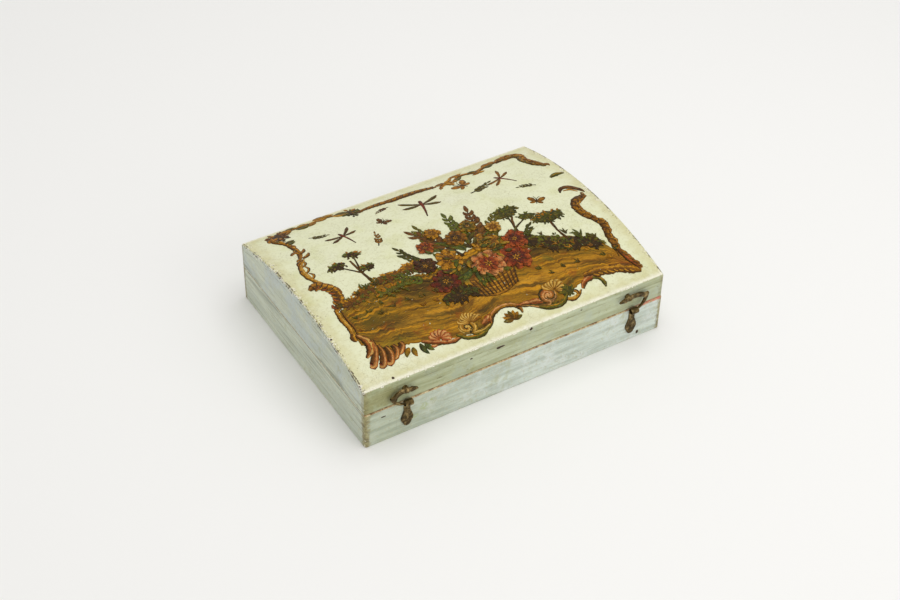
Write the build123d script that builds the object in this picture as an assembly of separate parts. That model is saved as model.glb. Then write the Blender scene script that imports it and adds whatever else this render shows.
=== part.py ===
from build123d import *
import math
import os

# All sizes are in millimetres. X runs left to right, the front faces -Y and +Z is up.
# The origin is the middle of the underside.

# Carcase
box_length = 300.0
box_depth = 224.0
base_height = 36.5
lid_side_height = 24.5
dome_rise = 18.0
wall_thickness = 8.0
rim_overhang = 0.8
corner_round = 2.2
eave_round = 2.0
edge_easing = 0.6

# Bottom board, let into a rebate round the foot of the walls
bottom_thickness = 6.0
bottom_let_in = 4.0
bottom_nail_length = 12.5
bottom_nail_width = 1.5
bottom_nail_head_width = 3.4
bottom_nail_head_height = 0.8
bottom_nails_long_side = 4
bottom_nails_short_side = 4
bottom_nail_corner_inset = 22.0

# Through dovetails, tails on the front and back boards
base_tails = 3
lid_tails = 2
pin_width = 3.6
dovetail_slope = 1.0 / 6.0
socket_overrun = 1.0

# Curved lid top, made of staves on segmental ends
stave_count = 5
stave_thickness = 6.0
stave_pin_width = 1.6
stave_pin_length = 15.0
stave_pin_sink = 0.6
stave_past_eave_angle = 4.0

# Dividers, halved together and housed in the walls
divider_thickness = 4.0
divider_height = 22.0
divider_housing = 2.0
side_well_width = 86.0

# Four counter boxes with lift-off lids
tray_clearance = 0.8
tray_height = 21.0
tray_wall = 3.0
tray_floor = 2.4
tray_lid_thickness = 4.0
tray_lid_round = 1.4
tray_lip_depth = 2.0
tray_lip_clearance = 0.4

# Sheet brass fittings and their nails
leaf_thickness = 1.0
nail_width = 1.2
nail_bite = 5.5
nail_head_radius = 1.35
nail_head_height = 0.6
nail_head_shoulder_radius = 1.15
nail_head_crown_radius = 0.7
nail_head_sides = 10

# Hinges on the back
hinge_inset = 45.0
hinge_width = 24.0
knuckle_radius = 2.5
knuckle_gap = 0.2
hinge_pin_radius = 1.2
hinge_pin_head_radius = 1.8
hinge_pin_head_length = 0.9
hinge_standoff = 0.3
hinge_neck_radius = 4.4
hinge_belly_radius = 6.4
hinge_lid_leaf_length = 20.0
hinge_base_leaf_length = 26.0
hinge_collar = 5.0
hinge_collar_fillet = 2.0
hinge_knuckles = 3
running_clearance = 0.05

# Latches on the front
latch_left_inset = 39.5
latch_right_inset = 33.0
left_pivot_inward = -1.5
right_pivot_inward = 6.4
left_pivot_height = 14.2
right_pivot_height = 16.5
eye_length = 7.6
eye_radius = 3.0
eye_bore_radius = 2.2
eye_easing = 0.6
eye_standoff = 0.3
catch_length = 28.0
catch_neck_radius = 3.0
catch_neck_length = 11.0
catch_belly_radius = 5.8
catch_belly_reach = 19.5
catch_toe_radius = 3.6
pivot_radius = 1.3
pivot_head_radius = 2.2
pivot_head_height = 1.5
pivot_collar_radius = 2.5
pivot_bite = 6.0
hook_thickness = 2.0
hook_boss_radius = 3.0
hook_arm_width = 4.4
hook_arm_crown = 1.1
hook_shoulder_radius = 2.9
left_shoulder_angle = -22.0
right_shoulder_angle = -10.0
hook_ear_radius = 1.4
hook_ear_reach = 2.4
hook_ear_past_shoulder = 50.0
hook_tail_length = 10.0
hook_tail_belly_radius = 2.4
hook_tail_belly_reach = 4.6
hook_tail_tip_radius = 0.6
hook_tail_angle = -171.0
hook_easing = 0.5
hook_hollow_round = 0.6
beak_root_width = 3.6
beak_point_radius = 0.7
beak_engagement = 2.3
beak_point_gap = 0.4

# Sizes that follow from the ones above
half_length = box_length / 2
half_depth = box_depth / 2
joint_z = base_height
eave_z = joint_z + lid_side_height
lid_front_y = -half_depth + rim_overhang
lid_back_y = half_depth
lid_middle_y = (lid_front_y + lid_back_y) / 2
lid_half_depth = (lid_back_y - lid_front_y) / 2
dome_radius = (lid_half_depth**2 + dome_rise**2) / (2 * dome_rise)
dome_centre_z = eave_z + dome_rise - dome_radius
ceiling_radius = dome_radius - stave_thickness
dome_half_angle = math.degrees(math.asin(lid_half_depth / dome_radius))
inner_half_length = half_length - wall_thickness
inner_half_depth = half_depth - wall_thickness
divider_x = inner_half_length - side_well_width - divider_thickness / 2
well_depth = inner_half_depth - divider_thickness / 2
hinge_axis_y = half_depth + hinge_standoff + knuckle_radius
knuckle_length = hinge_width / hinge_knuckles
eye_y = -half_depth - eye_standoff - eye_radius
hook_back_y = eye_y + hook_thickness / 2
latches = {
    "left": {
        "x": -half_length + latch_left_inset, "outward": -1, "pivot_inward": left_pivot_inward,
        "pivot_height": left_pivot_height, "shoulder_angle": left_shoulder_angle,
    },
    "right": {
        "x": half_length - latch_right_inset, "outward": 1, "pivot_inward": right_pivot_inward,
        "pivot_height": right_pivot_height, "shoulder_angle": right_shoulder_angle,
    },
}
hinges = {"left": -half_length + hinge_inset, "right": half_length - hinge_inset}

parts = {}


def slab(x_from, x_to, y_from, y_to, z_from, z_to):
    """Board between two corners"""
    middle = Pos((x_from + x_to) / 2, (y_from + y_to) / 2, (z_from + z_to) / 2)
    return middle * Box(x_to - x_from, y_to - y_from, z_to - z_from)


def along_x(face, x_from, x_to):
    """Prism of a face drawn in Y and Z"""
    return extrude(Plane((x_from, 0, 0), x_dir=(0, 1, 0), z_dir=(1, 0, 0)) * face, x_to - x_from)


def along_y(face, y_from, y_to):
    """Prism of a face drawn in X and Z"""
    return extrude(Plane((0, y_to, 0), x_dir=(1, 0, 0), z_dir=(0, -1, 0)) * face, y_to - y_from)


def polar(radius, angle):
    return (radius * math.cos(math.radians(angle)), radius * math.sin(math.radians(angle)))


def on_dome(radius, angle):
    """Point in Y and Z at an angle from the crown, positive towards the back"""
    return (
        lid_middle_y + radius * math.sin(math.radians(angle)),
        dome_centre_z + radius * math.cos(math.radians(angle)),
    )


def under_arc(radius, y_from, y_to, z_from):
    """Face in Y and Z below an arc about the dome's axis"""
    first = math.degrees(math.asin((y_from - lid_middle_y) / radius))
    last = math.degrees(math.asin((y_to - lid_middle_y) / radius))
    middle = (first + last) / 2
    crown = ThreePointArc(on_dome(radius, first), on_dome(radius, middle), on_dome(radius, last))
    sides = Polyline(crown @ 1, (y_to, z_from), (y_from, z_from), crown @ 0)
    return make_face(Curve() + [crown, sides])


def dovetail_sockets(y_from, y_to, z_from, z_to, tails):
    """Spaces for the pins at both ends of a front or back board"""
    pitch = (z_to - z_from) / tails
    end_half = pin_width / 2
    root_half = end_half + wall_thickness * dovetail_slope
    outer_half = end_half - socket_overrun * dovetail_slope
    spaces = []
    for end in (-1, 1):
        outside = end * (half_length + socket_overrun)
        root = end * inner_half_length
        for step in range(tails + 1):
            z = z_from + step * pitch
            open_top = wall_thickness if step == tails else 0
            outline = Polyline(
                (outside, z - outer_half), (root, z - root_half),
                (root, z + root_half + open_top), (outside, z + outer_half + open_top), close=True,
            )
            spaces.append(along_y(make_face(outline), y_from, y_to))
    return spaces


def rounded_base_block():
    block = slab(-half_length, half_length, -half_depth, half_depth, 0, base_height)
    block = fillet(block.edges().filter_by(Axis.Z), corner_round)
    return chamfer(block.edges().group_by(Axis.Z)[0] + block.edges().group_by(Axis.Z)[-1], edge_easing)


def rounded_lid_block():
    outline = under_arc(dome_radius, lid_front_y, lid_back_y, joint_z)
    block = along_x(outline, -half_length, half_length)
    block = fillet(block.edges().filter_by(Axis.Z), corner_round)
    block = fillet(block.faces().sort_by(Axis.Z)[-1].edges(), eave_round)
    return chamfer(block.edges().group_by(Axis.Z)[0], edge_easing)


def forged_shank(width, z_from, z_to):
    """Square shank that tapers to half its width"""
    root = Pos(0, 0, z_from) * Rectangle(width, width)
    point = Pos(0, 0, z_to) * Rectangle(width / 2, width / 2)
    return loft([root, point])


def flat_head_nail():
    """Forged nail standing on its sunk square head, driven upwards"""
    top = Rectangle(bottom_nail_head_width, bottom_nail_head_width)
    neck = Pos(0, 0, bottom_nail_head_height) * Rectangle(bottom_nail_width, bottom_nail_width)
    return loft([top, neck]) + forged_shank(bottom_nail_width, bottom_nail_head_height, bottom_nail_length)


def bottom_nails():
    """Nails through the edge of the bottom board into the walls"""
    nail = flat_head_nail()
    row_x = inner_half_length + bottom_let_in / 2
    row_y = inner_half_depth + bottom_let_in / 2
    first_x = inner_half_length - bottom_nail_corner_inset
    first_y = inner_half_depth - bottom_nail_corner_inset
    nails = []
    for side in (-1, 1):
        for step in range(bottom_nails_long_side):
            x = -first_x + step * 2 * first_x / (bottom_nails_long_side - 1)
            nails.append(Pos(x, side * row_y, 0) * nail)
        for step in range(bottom_nails_short_side):
            y = -first_y + step * 2 * first_y / (bottom_nails_short_side - 1)
            nails.append(Pos(side * row_x, y, 0) * nail)
    return nails


def dividers():
    """Two boards from front to back, halved over one from left to right"""
    low, high = bottom_thickness, bottom_thickness + divider_height
    half_way = (low + high) / 2
    reach_x = inner_half_length + divider_housing
    reach_y = inner_half_depth + divider_housing
    half = divider_thickness / 2
    cross = slab(-reach_x, reach_x, -half, half, low, high)
    boards = {}
    for name, x in (("left", -divider_x), ("right", divider_x)):
        board = slab(x - half, x + half, -reach_y, reach_y, low, high)
        board -= slab(x - half, x + half, -half, half, half_way, high)
        cross -= slab(x - half, x + half, -half, half, low, half_way)
        boards["divider_" + name] = board
    boards["divider_cross"] = cross
    return boards


def base_boards():
    """Dovetailed walls, bottom board, its nails and the dividers"""
    block = rounded_base_block()
    bottom = slab(
        -inner_half_length - bottom_let_in, inner_half_length + bottom_let_in,
        -inner_half_depth - bottom_let_in, inner_half_depth + bottom_let_in, 0, bottom_thickness,
    )
    inner = dividers()
    nails = bottom_nails()
    walls = {}
    for name, y_from, y_to in (
        ("front", -half_depth, -inner_half_depth), ("back", inner_half_depth, half_depth),
    ):
        wall = slab(-half_length, half_length, y_from, y_to, 0, base_height)
        walls[name] = wall - dovetail_sockets(y_from, y_to, 0, base_height, base_tails)
    for name, x_from, x_to in (
        ("left", -half_length, -inner_half_length), ("right", inner_half_length, half_length),
    ):
        wall = slab(x_from, x_to, -half_depth, half_depth, 0, base_height)
        walls[name] = wall - [walls["front"], walls["back"]]
    for name, wall in walls.items():
        parts["base_" + name] = (wall - [bottom] - list(inner.values()) - nails) & block
    parts["base_bottom"] = bottom - nails
    parts["base_bottom_nails"] = nails
    for name, board in inner.items():
        parts[name] = board - nails


def stave_pins():
    """Headless pins through the staves into the segmental ends"""
    step = 2 * dome_half_angle / stave_count
    pins = []
    for end in (-1, 1):
        for index in range(stave_count):
            angle = -dome_half_angle + (index + 0.5) * step
            foot_y, foot_z = on_dome(dome_radius - stave_pin_length, angle)
            place = Pos(end * (half_length - wall_thickness / 2), foot_y, foot_z) * Rot(180 - angle, 0, 0)
            pins.append(place * forged_shank(stave_pin_width, stave_pin_sink - stave_pin_length, 0))
    return pins


def stave(index):
    """One stave of the curved top, before its ends and eaves are rounded"""
    step = 2 * dome_half_angle / stave_count
    before = stave_past_eave_angle if index == 0 else 0
    after = stave_past_eave_angle if index == stave_count - 1 else 0
    start = -dome_half_angle + index * step - before
    stop = -dome_half_angle + (index + 1) * step + after
    middle = (start + stop) / 2
    top = ThreePointArc(
        on_dome(dome_radius, start), on_dome(dome_radius, middle), on_dome(dome_radius, stop)
    )
    ceiling = ThreePointArc(
        on_dome(ceiling_radius, stop), on_dome(ceiling_radius, middle), on_dome(ceiling_radius, start)
    )
    edges = [top, Line(top @ 1, ceiling @ 0), ceiling, Line(ceiling @ 1, top @ 0)]
    return along_x(make_face(Curve() + edges), -half_length, half_length)


def lid_boards():
    """Dovetailed lid frame with segmental ends, and the staves that close it"""
    block = rounded_lid_block()
    pins = stave_pins()
    board_top = on_dome(ceiling_radius, math.degrees(math.asin(lid_half_depth / ceiling_radius)))[1]
    walls = {}
    for name, y_from, y_to in (
        ("front", lid_front_y, -inner_half_depth), ("back", inner_half_depth, lid_back_y),
    ):
        wall = along_x(under_arc(ceiling_radius, y_from, y_to, joint_z), -half_length, half_length)
        walls[name] = wall - dovetail_sockets(y_from, y_to, joint_z, board_top, lid_tails)
    for name, x_from, x_to in (
        ("left_end", -half_length, -inner_half_length), ("right_end", inner_half_length, half_length),
    ):
        wall = along_x(under_arc(ceiling_radius, lid_front_y, lid_back_y, joint_z), x_from, x_to)
        walls[name] = wall - [walls["front"], walls["back"]]
    for name, wall in walls.items():
        parts["lid_" + name] = (wall - pins) & block
    for index in range(stave_count):
        parts["lid_stave_" + str(index + 1)] = (stave(index) - pins) & block
    parts["lid_stave_pins"] = pins


def counter_boxes():
    """A tray of five boards and a lift-off lid in each corner well"""
    well_middle_x = inner_half_length - side_well_width / 2
    well_middle_y = divider_thickness / 2 + well_depth / 2
    half_x = side_well_width / 2 - tray_clearance
    half_y = well_depth / 2 - tray_clearance
    floor_top = bottom_thickness + tray_floor
    rim = bottom_thickness + tray_height
    top = rim + tray_lid_thickness
    inner_x = half_x - tray_wall
    inner_y = half_y - tray_wall
    floor = slab(-inner_x, inner_x, -inner_y, inner_y, bottom_thickness, floor_top)
    walls = []
    for near_y, far_y in ((-half_y, -inner_y), (inner_y, half_y)):
        walls.append(slab(-half_x, half_x, near_y, far_y, bottom_thickness, rim))
    for near_x, far_x in ((-half_x, -inner_x), (inner_x, half_x)):
        walls.append(slab(near_x, far_x, -inner_y, inner_y, bottom_thickness, rim))
    cap = slab(-half_x, half_x, -half_y, half_y, rim, top)
    cap = fillet(cap.faces().sort_by(Axis.Z)[-1].edges(), tray_lid_round)
    lip_x = inner_x - tray_lip_clearance
    lip_y = inner_y - tray_lip_clearance
    cap += slab(-lip_x, lip_x, -lip_y, lip_y, rim - tray_lip_depth, rim)
    for side, x in (("left", -well_middle_x), ("right", well_middle_x)):
        for row, y in (("front", -well_middle_y), ("back", well_middle_y)):
            name = "counter_box_" + side + "_" + row
            place = Pos(x, y, 0)
            parts[name + "_floor"] = place * floor
            parts[name + "_walls"] = [place * wall for wall in walls]
            parts[name + "_lid"] = place * cap


def pear(neck_radius, neck_end, rounds):
    """Leaf hanging from the origin: a straight neck, then the hull of the rounds below it"""
    row = Pos(0, -neck_end) * Circle(neck_radius)
    for reach, radius in rounds:
        row += Pos(0, -reach) * Circle(radius)
    neck = Pos(0, -neck_end / 2) * Rectangle(2 * neck_radius, neck_end)
    return neck + make_hull(row.edges())


def domed_nail():
    """Small nail along +Z, with its hammered head below the origin"""
    seat = RegularPolygon(nail_head_radius, nail_head_sides)
    shoulder = Pos(0, 0, -nail_head_height / 2) * RegularPolygon(nail_head_shoulder_radius, nail_head_sides)
    crown = Pos(0, 0, -nail_head_height) * RegularPolygon(nail_head_crown_radius, nail_head_sides)
    head = loft([seat, shoulder], ruled=True) + loft([shoulder, crown], ruled=True)
    return head + forged_shank(nail_width, 0, leaf_thickness + nail_bite)


def cap_side(radius, height):
    """Point half-way down a spherical cap, measured from the middle of its base"""
    ball = (radius**2 + height**2) / (2 * height)
    half_angle = math.asin(radius / ball) / 2
    return (ball * math.sin(half_angle), height - ball + ball * math.cos(half_angle))


def front_nail(x, z):
    return Pos(x, -half_depth - leaf_thickness, z) * Rot(-90, 0, 0) * domed_nail()


def back_nail(x, z):
    return Pos(x, half_depth + leaf_thickness, z) * Rot(90, 0, 0) * domed_nail()


def hinge_leaf(length, up, knuckles):
    """Leaf on the back face with its rolled knuckles, about the hinge's own middle"""
    collar = Pos(0, -hinge_collar / 2) * Rectangle(hinge_width, hinge_collar)
    belly_reach = length - hinge_belly_radius
    outline = collar + pear(hinge_neck_radius, length / 2, [(belly_reach, hinge_belly_radius)])
    leaf = along_y(outline, half_depth, half_depth + leaf_thickness)
    under_collar = leaf.edges().filter_by(Axis.Y).filter_by_position(Axis.Z, -hinge_collar, -hinge_collar)
    waist = [edge for edge in under_collar if abs(edge.center().X) < (hinge_width + hinge_neck_radius) / 4]
    leaf = fillet(waist, hinge_collar_fillet)
    if up:
        leaf = mirror(leaf, Plane.XY)
    leaf = Pos(0, 0, joint_z) * leaf
    bore = Rot(0, 90, 0) * Cylinder(hinge_pin_radius + running_clearance, hinge_width * 2)
    axis = Pos(0, hinge_axis_y, joint_z)
    for index in range(hinge_knuckles):
        middle = (index - (hinge_knuckles - 1) / 2) * knuckle_length
        if index in knuckles:
            roll = Rot(0, 90, 0) * Cylinder(knuckle_radius, knuckle_length - knuckle_gap)
            leaf += Pos(middle, 0, 0) * axis * roll
        else:
            notch = knuckle_radius + hinge_standoff
            leaf -= Pos(middle, 0, 0) * axis * Box(knuckle_length + knuckle_gap, 2 * notch, 2 * notch)
    return leaf - axis * bore


def hinge_pin():
    """Pin with a peened head at each end"""
    half = hinge_width / 2
    profile = Polyline(
        (0, -half - hinge_pin_head_length), (hinge_pin_head_radius, -half - hinge_pin_head_length / 2),
        (hinge_pin_head_radius, -half), (hinge_pin_radius, -half), (hinge_pin_radius, half),
        (hinge_pin_head_radius, half), (hinge_pin_head_radius, half + hinge_pin_head_length / 2),
        (0, half + hinge_pin_head_length), close=True,
    )
    pin = revolve(Plane.XZ * make_face(profile), Axis.Z)
    return Pos(0, hinge_axis_y, joint_z) * Rot(0, 90, 0) * pin


def hinge_fittings():
    base_leaf = hinge_leaf(hinge_base_leaf_length, False, (0, 2))
    lid_leaf = hinge_leaf(hinge_lid_leaf_length, True, (1,))
    base_nails = []
    lid_nails = []
    for side, x in hinges.items():
        for reach in (hinge_collar, hinge_base_leaf_length - hinge_belly_radius):
            base_nails.append(back_nail(x, joint_z - reach))
        for reach in (hinge_collar, hinge_lid_leaf_length - hinge_belly_radius):
            lid_nails.append(back_nail(x, joint_z + reach))
        parts["hinge_" + side + "_base_leaf"] = Pos(x, 0, 0) * base_leaf - base_nails
        parts["hinge_" + side + "_lid_leaf"] = Pos(x, 0, 0) * lid_leaf - lid_nails
        parts["hinge_" + side + "_pin"] = Pos(x, 0, 0) * hinge_pin()
    parts["hinge_base_nails"] = base_nails
    parts["hinge_lid_nails"] = lid_nails
    parts["base_back"] -= base_nails
    parts["lid_back"] -= lid_nails


def catch_plate():
    """Pear-shaped plate whose neck is rolled forward into an eye, about the eye's middle"""
    toe_reach = catch_length - catch_toe_radius
    rounds = [(catch_belly_reach, catch_belly_radius), (toe_reach, catch_toe_radius)]
    outline = pear(catch_neck_radius, catch_neck_length, rounds)
    leaf = along_y(Pos(0, joint_z) * outline, -half_depth - leaf_thickness, -half_depth)
    axis = Pos(0, eye_y, joint_z)
    eye = Cylinder(eye_radius, eye_length)
    eye = axis * Rot(0, 90, 0) * chamfer(eye.edges().filter_by(GeomType.CIRCLE), eye_easing)
    bore = axis * Rot(0, 90, 0) * Cylinder(eye_bore_radius, eye_length)
    return leaf + eye - bore


def hook_outline(pivot_inward, pivot_height, shoulder_angle):
    """A swan-neck hook seen from the front, with its pivot at the origin and its beak to the right"""
    mouth = pivot_inward + eye_length / 2
    beak_radius = math.hypot(mouth - beak_engagement / 2, pivot_height)
    point_angle = -math.degrees(math.acos((mouth + beak_point_gap + beak_point_radius) / beak_radius))
    shoulder_reach = beak_radius + beak_root_width / 2 - hook_shoulder_radius
    shoulder = polar(shoulder_reach, shoulder_angle)
    crown = polar(shoulder_reach / 2, shoulder_angle / 2)
    arm_line = ThreePointArc((0, 0), (crown[0], crown[1] + hook_arm_crown), shoulder)
    outline = Circle(hook_boss_radius) + SlotArc(arm_line, hook_arm_width)
    outline += Pos(*shoulder) * Circle(hook_shoulder_radius)
    ear = polar(hook_ear_reach, shoulder_angle + hook_ear_past_shoulder)
    outline += Pos(*shoulder) * Pos(*ear) * Circle(hook_ear_radius)
    middle_angle = (shoulder_angle + point_angle) / 2
    middle_half = (beak_root_width / 2 + beak_point_radius) / 2
    outer = ThreePointArc(
        polar(beak_radius + beak_root_width / 2, shoulder_angle),
        polar(beak_radius + middle_half, middle_angle),
        polar(beak_radius + beak_point_radius, point_angle),
    )
    inner = ThreePointArc(
        polar(beak_radius - beak_point_radius, point_angle),
        polar(beak_radius - middle_half, middle_angle),
        polar(beak_radius - beak_root_width / 2, shoulder_angle),
    )
    beak = make_face(Curve() + [outer, Line(outer @ 1, inner @ 0), inner, Line(inner @ 1, outer @ 0)])
    outline += beak
    outline += Pos(*polar(beak_radius, point_angle)) * Circle(beak_point_radius)
    tail_belly = Pos(*polar(hook_tail_belly_reach, hook_tail_angle)) * Circle(hook_tail_belly_radius)
    tail_tip = Pos(*polar(hook_tail_length, hook_tail_angle)) * Circle(hook_tail_tip_radius)
    return outline + make_hull((tail_belly + tail_tip).edges())


def sharp_edges(solid):
    """Edges along Y where two sides meet at a real corner"""
    least_turn = 20.0
    sharp = []
    for edge in solid.edges().filter_by(Axis.Y):
        sides = [face.normal_at(edge.center()) for face in solid.faces() if edge in face.edges()]
        if sides[0].get_angle(sides[1]) > least_turn:
            sharp.append(edge)
    return sharp


def hook(pivot_inward, pivot_height, shoulder_angle):
    """Hook for the right-hand end, with its pivot over the origin"""
    outline = hook_outline(pivot_inward, pivot_height, shoulder_angle)
    plate = along_y(outline, hook_back_y - hook_thickness, hook_back_y)
    plate = fillet(sharp_edges(plate), hook_hollow_round)
    plate = chamfer(plate.faces().sort_by(Axis.Y)[0].edges(), hook_easing)
    bore = Rot(90, 0, 0) * Cylinder(pivot_radius + running_clearance, 4 * hook_thickness)
    return plate - Pos(0, hook_back_y, 0) * bore


def pivot_pin():
    """Shouldered pin driven into the lid's front, with a domed head over the hook"""
    collar = lid_front_y - hook_back_y - running_clearance
    head = collar + hook_thickness + 2 * running_clearance
    tip = head + pivot_head_height
    body = Polyline(
        (0, -pivot_bite), (pivot_radius, pivot_radius - pivot_bite), (pivot_radius, 0),
        (pivot_collar_radius, 0), (pivot_collar_radius, collar), (pivot_radius, collar),
        (pivot_radius, head), (pivot_head_radius, head),
    )
    side_x, side_y = cap_side(pivot_head_radius, pivot_head_height)
    dome = ThreePointArc((pivot_head_radius, head), (side_x, head + side_y), (0, tip))
    pin = revolve(Plane.XZ * make_face(Curve() + [body, dome, Line((0, tip), (0, -pivot_bite))]), Axis.Z)
    return Pos(0, lid_front_y, 0) * Rot(90, 0, 0) * pin


def latch_fittings():
    plate = catch_plate()
    pin = pivot_pin()
    nails = []
    pins = []
    for side, latch in latches.items():
        x, inward, height = latch["x"], latch["pivot_inward"], latch["pivot_height"]
        plate_nails = [
            front_nail(x, joint_z - catch_neck_length),
            front_nail(x, joint_z - catch_belly_reach),
        ]
        nails += plate_nails
        pivot_place = Pos(x - latch["outward"] * inward, 0, joint_z + height)
        side_hook = hook(inward, height, latch["shoulder_angle"])
        if latch["outward"] < 0:
            side_hook = mirror(side_hook, Plane.YZ)
        parts["latch_" + side + "_catch_plate"] = Pos(x, 0, 0) * plate - plate_nails
        parts["latch_" + side + "_hook"] = pivot_place * side_hook
        parts["latch_" + side + "_pivot_pin"] = pivot_place * pin
        pins.append(pivot_place * pin)
    parts["latch_nails"] = nails
    parts["base_front"] -= nails
    parts["lid_front"] -= pins


base_boards()
lid_boards()
counter_boxes()
hinge_fittings()
latch_fittings()

os.makedirs("parts", exist_ok=True)
for node, shape in parts.items():
    solids = list(shape) if isinstance(shape, list) else [shape]
    pieces = [solid for piece in solids for solid in piece.solids()]
    export_step(Compound(children=pieces) if len(pieces) > 1 else pieces[0], "parts/" + node + ".step")
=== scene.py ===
import bmesh
import bpy
import math
import random
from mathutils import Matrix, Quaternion, Vector


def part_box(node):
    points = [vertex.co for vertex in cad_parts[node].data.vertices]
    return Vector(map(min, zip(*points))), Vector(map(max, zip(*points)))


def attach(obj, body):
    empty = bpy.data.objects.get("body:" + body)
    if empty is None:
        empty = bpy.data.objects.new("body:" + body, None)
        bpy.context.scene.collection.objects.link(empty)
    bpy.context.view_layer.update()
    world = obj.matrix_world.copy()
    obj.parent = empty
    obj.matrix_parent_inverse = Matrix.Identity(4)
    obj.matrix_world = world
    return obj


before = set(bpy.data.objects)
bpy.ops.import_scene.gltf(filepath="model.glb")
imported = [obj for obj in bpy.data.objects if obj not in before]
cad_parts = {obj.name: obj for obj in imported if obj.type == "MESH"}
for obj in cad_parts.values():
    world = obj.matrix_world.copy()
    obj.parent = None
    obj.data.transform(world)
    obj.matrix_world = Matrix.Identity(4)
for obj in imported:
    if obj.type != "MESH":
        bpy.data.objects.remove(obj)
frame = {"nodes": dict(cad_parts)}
bpy.context.view_layer.update()
nodes = frame["nodes"]
mm = 0.001

# The lid's curve, taken from the frame: half its depth, its crown and the height of its eaves
lidShape = {"sideHeight": 24.5, "staveThickness": 6.0, "wall": 8.0, "crownEasing": 0.03}
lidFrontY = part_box("lid_front")[0].y / mm
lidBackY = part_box("lid_back")[1].y / mm
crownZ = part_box("lid_stave_3")[1].z / mm
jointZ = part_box("base_front")[1].z / mm
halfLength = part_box("base_front")[1].x / mm
lidMiddleY = (lidFrontY + lidBackY) / 2
lidHalfDepth = (lidBackY - lidFrontY) / 2
eaveZ = jointZ + lidShape["sideHeight"]
domeRise = crownZ + lidShape["crownEasing"] - eaveZ
domeRadius = (lidHalfDepth ** 2 + domeRise ** 2) / (2 * domeRise)
domeAxisZ = eaveZ + domeRise - domeRadius
print("frame loaded, dome radius", round(domeRadius, 2))


def colour(code):
    # a colour written as on a paint card, turned into light values
    parts = [int(code[i:i + 2], 16) / 255 for i in (1, 3, 5)]
    return [p / 12.92 if p <= 0.04045 else ((p + 0.055) / 1.055) ** 2.4 for p in parts] + [1.0]


class Signal:
    # what a node gives out; sums and products with it add nodes to its tree
    def __init__(self, nodes, socket):
        self.nodes = nodes
        self.socket = socket

    def __add__(self, other):
        return self.nodes.calc("ADD", self, other)

    def __sub__(self, other):
        return self.nodes.calc("SUBTRACT", self, other)

    def __rsub__(self, other):
        return self.nodes.calc("SUBTRACT", other, self)

    def __mul__(self, other):
        return self.nodes.calc("MULTIPLY", self, other)

    def __truediv__(self, other):
        return self.nodes.calc("DIVIDE", self, other)

    def __abs__(self):
        return self.nodes.calc("ABSOLUTE", self)

    __radd__ = __add__
    __rmul__ = __mul__


class Nodes:
    # the node steps that all the finishes share, with sizes and places in millimetres
    def __init__(self, tree):
        self.tree = tree

    def put(self, socket, value):
        if isinstance(value, Signal):
            self.tree.links.new(value.socket, socket)
        else:
            socket.default_value = colour(value) if isinstance(value, str) else value

    def add(self, kind, out, inputs, **settings):
        # one node, its inputs by name or number, and the output that is wanted of it
        node = self.tree.nodes.new("ShaderNode" + kind)
        for key, value in settings.items():
            setattr(node, key, value)
        for key, value in inputs.items():
            self.put(node.inputs[key], value)
        return Signal(self, node.outputs[out])

    def calc(self, operation, a, b=0.0):
        return self.add("Math", 0, {0: a, 1: b}, operation=operation)

    def most(self, a, b):
        return self.calc("MAXIMUM", a, b)

    def least(self, a, b):
        return self.calc("MINIMUM", a, b)

    def step(self, value, low, high):
        # 0 at low, 1 at high, smooth in between; high may be the smaller one
        flipped = float(high < low)
        ends = {"From Min": min(low, high), "From Max": max(low, high), "To Min": flipped,
            "To Max": 1 - flipped}
        return self.add("MapRange", 0, {"Value": value, **ends}, interpolation_type="SMOOTHSTEP")

    def mix(self, share, under, over, blend="MIX"):
        return self.add("Mix", 2, {0: share, 6: under, 7: over}, data_type="RGBA", blend_type=blend)

    def lay(self, under, mask, share, over):
        # a colour over another where the mask says, at its strongest by the share
        return self.mix(mask * share, under, over)

    def ramp(self, value, *stops):
        tint = self.add("ValToRGB", 0, {0: value})
        band = tint.socket.node.color_ramp
        while len(band.elements) < len(stops):
            band.elements.new(0.5)
        for element, (spot, code) in zip(band.elements, stops):
            element.position = spot
            element.color = colour(code)
        return tint


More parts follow.
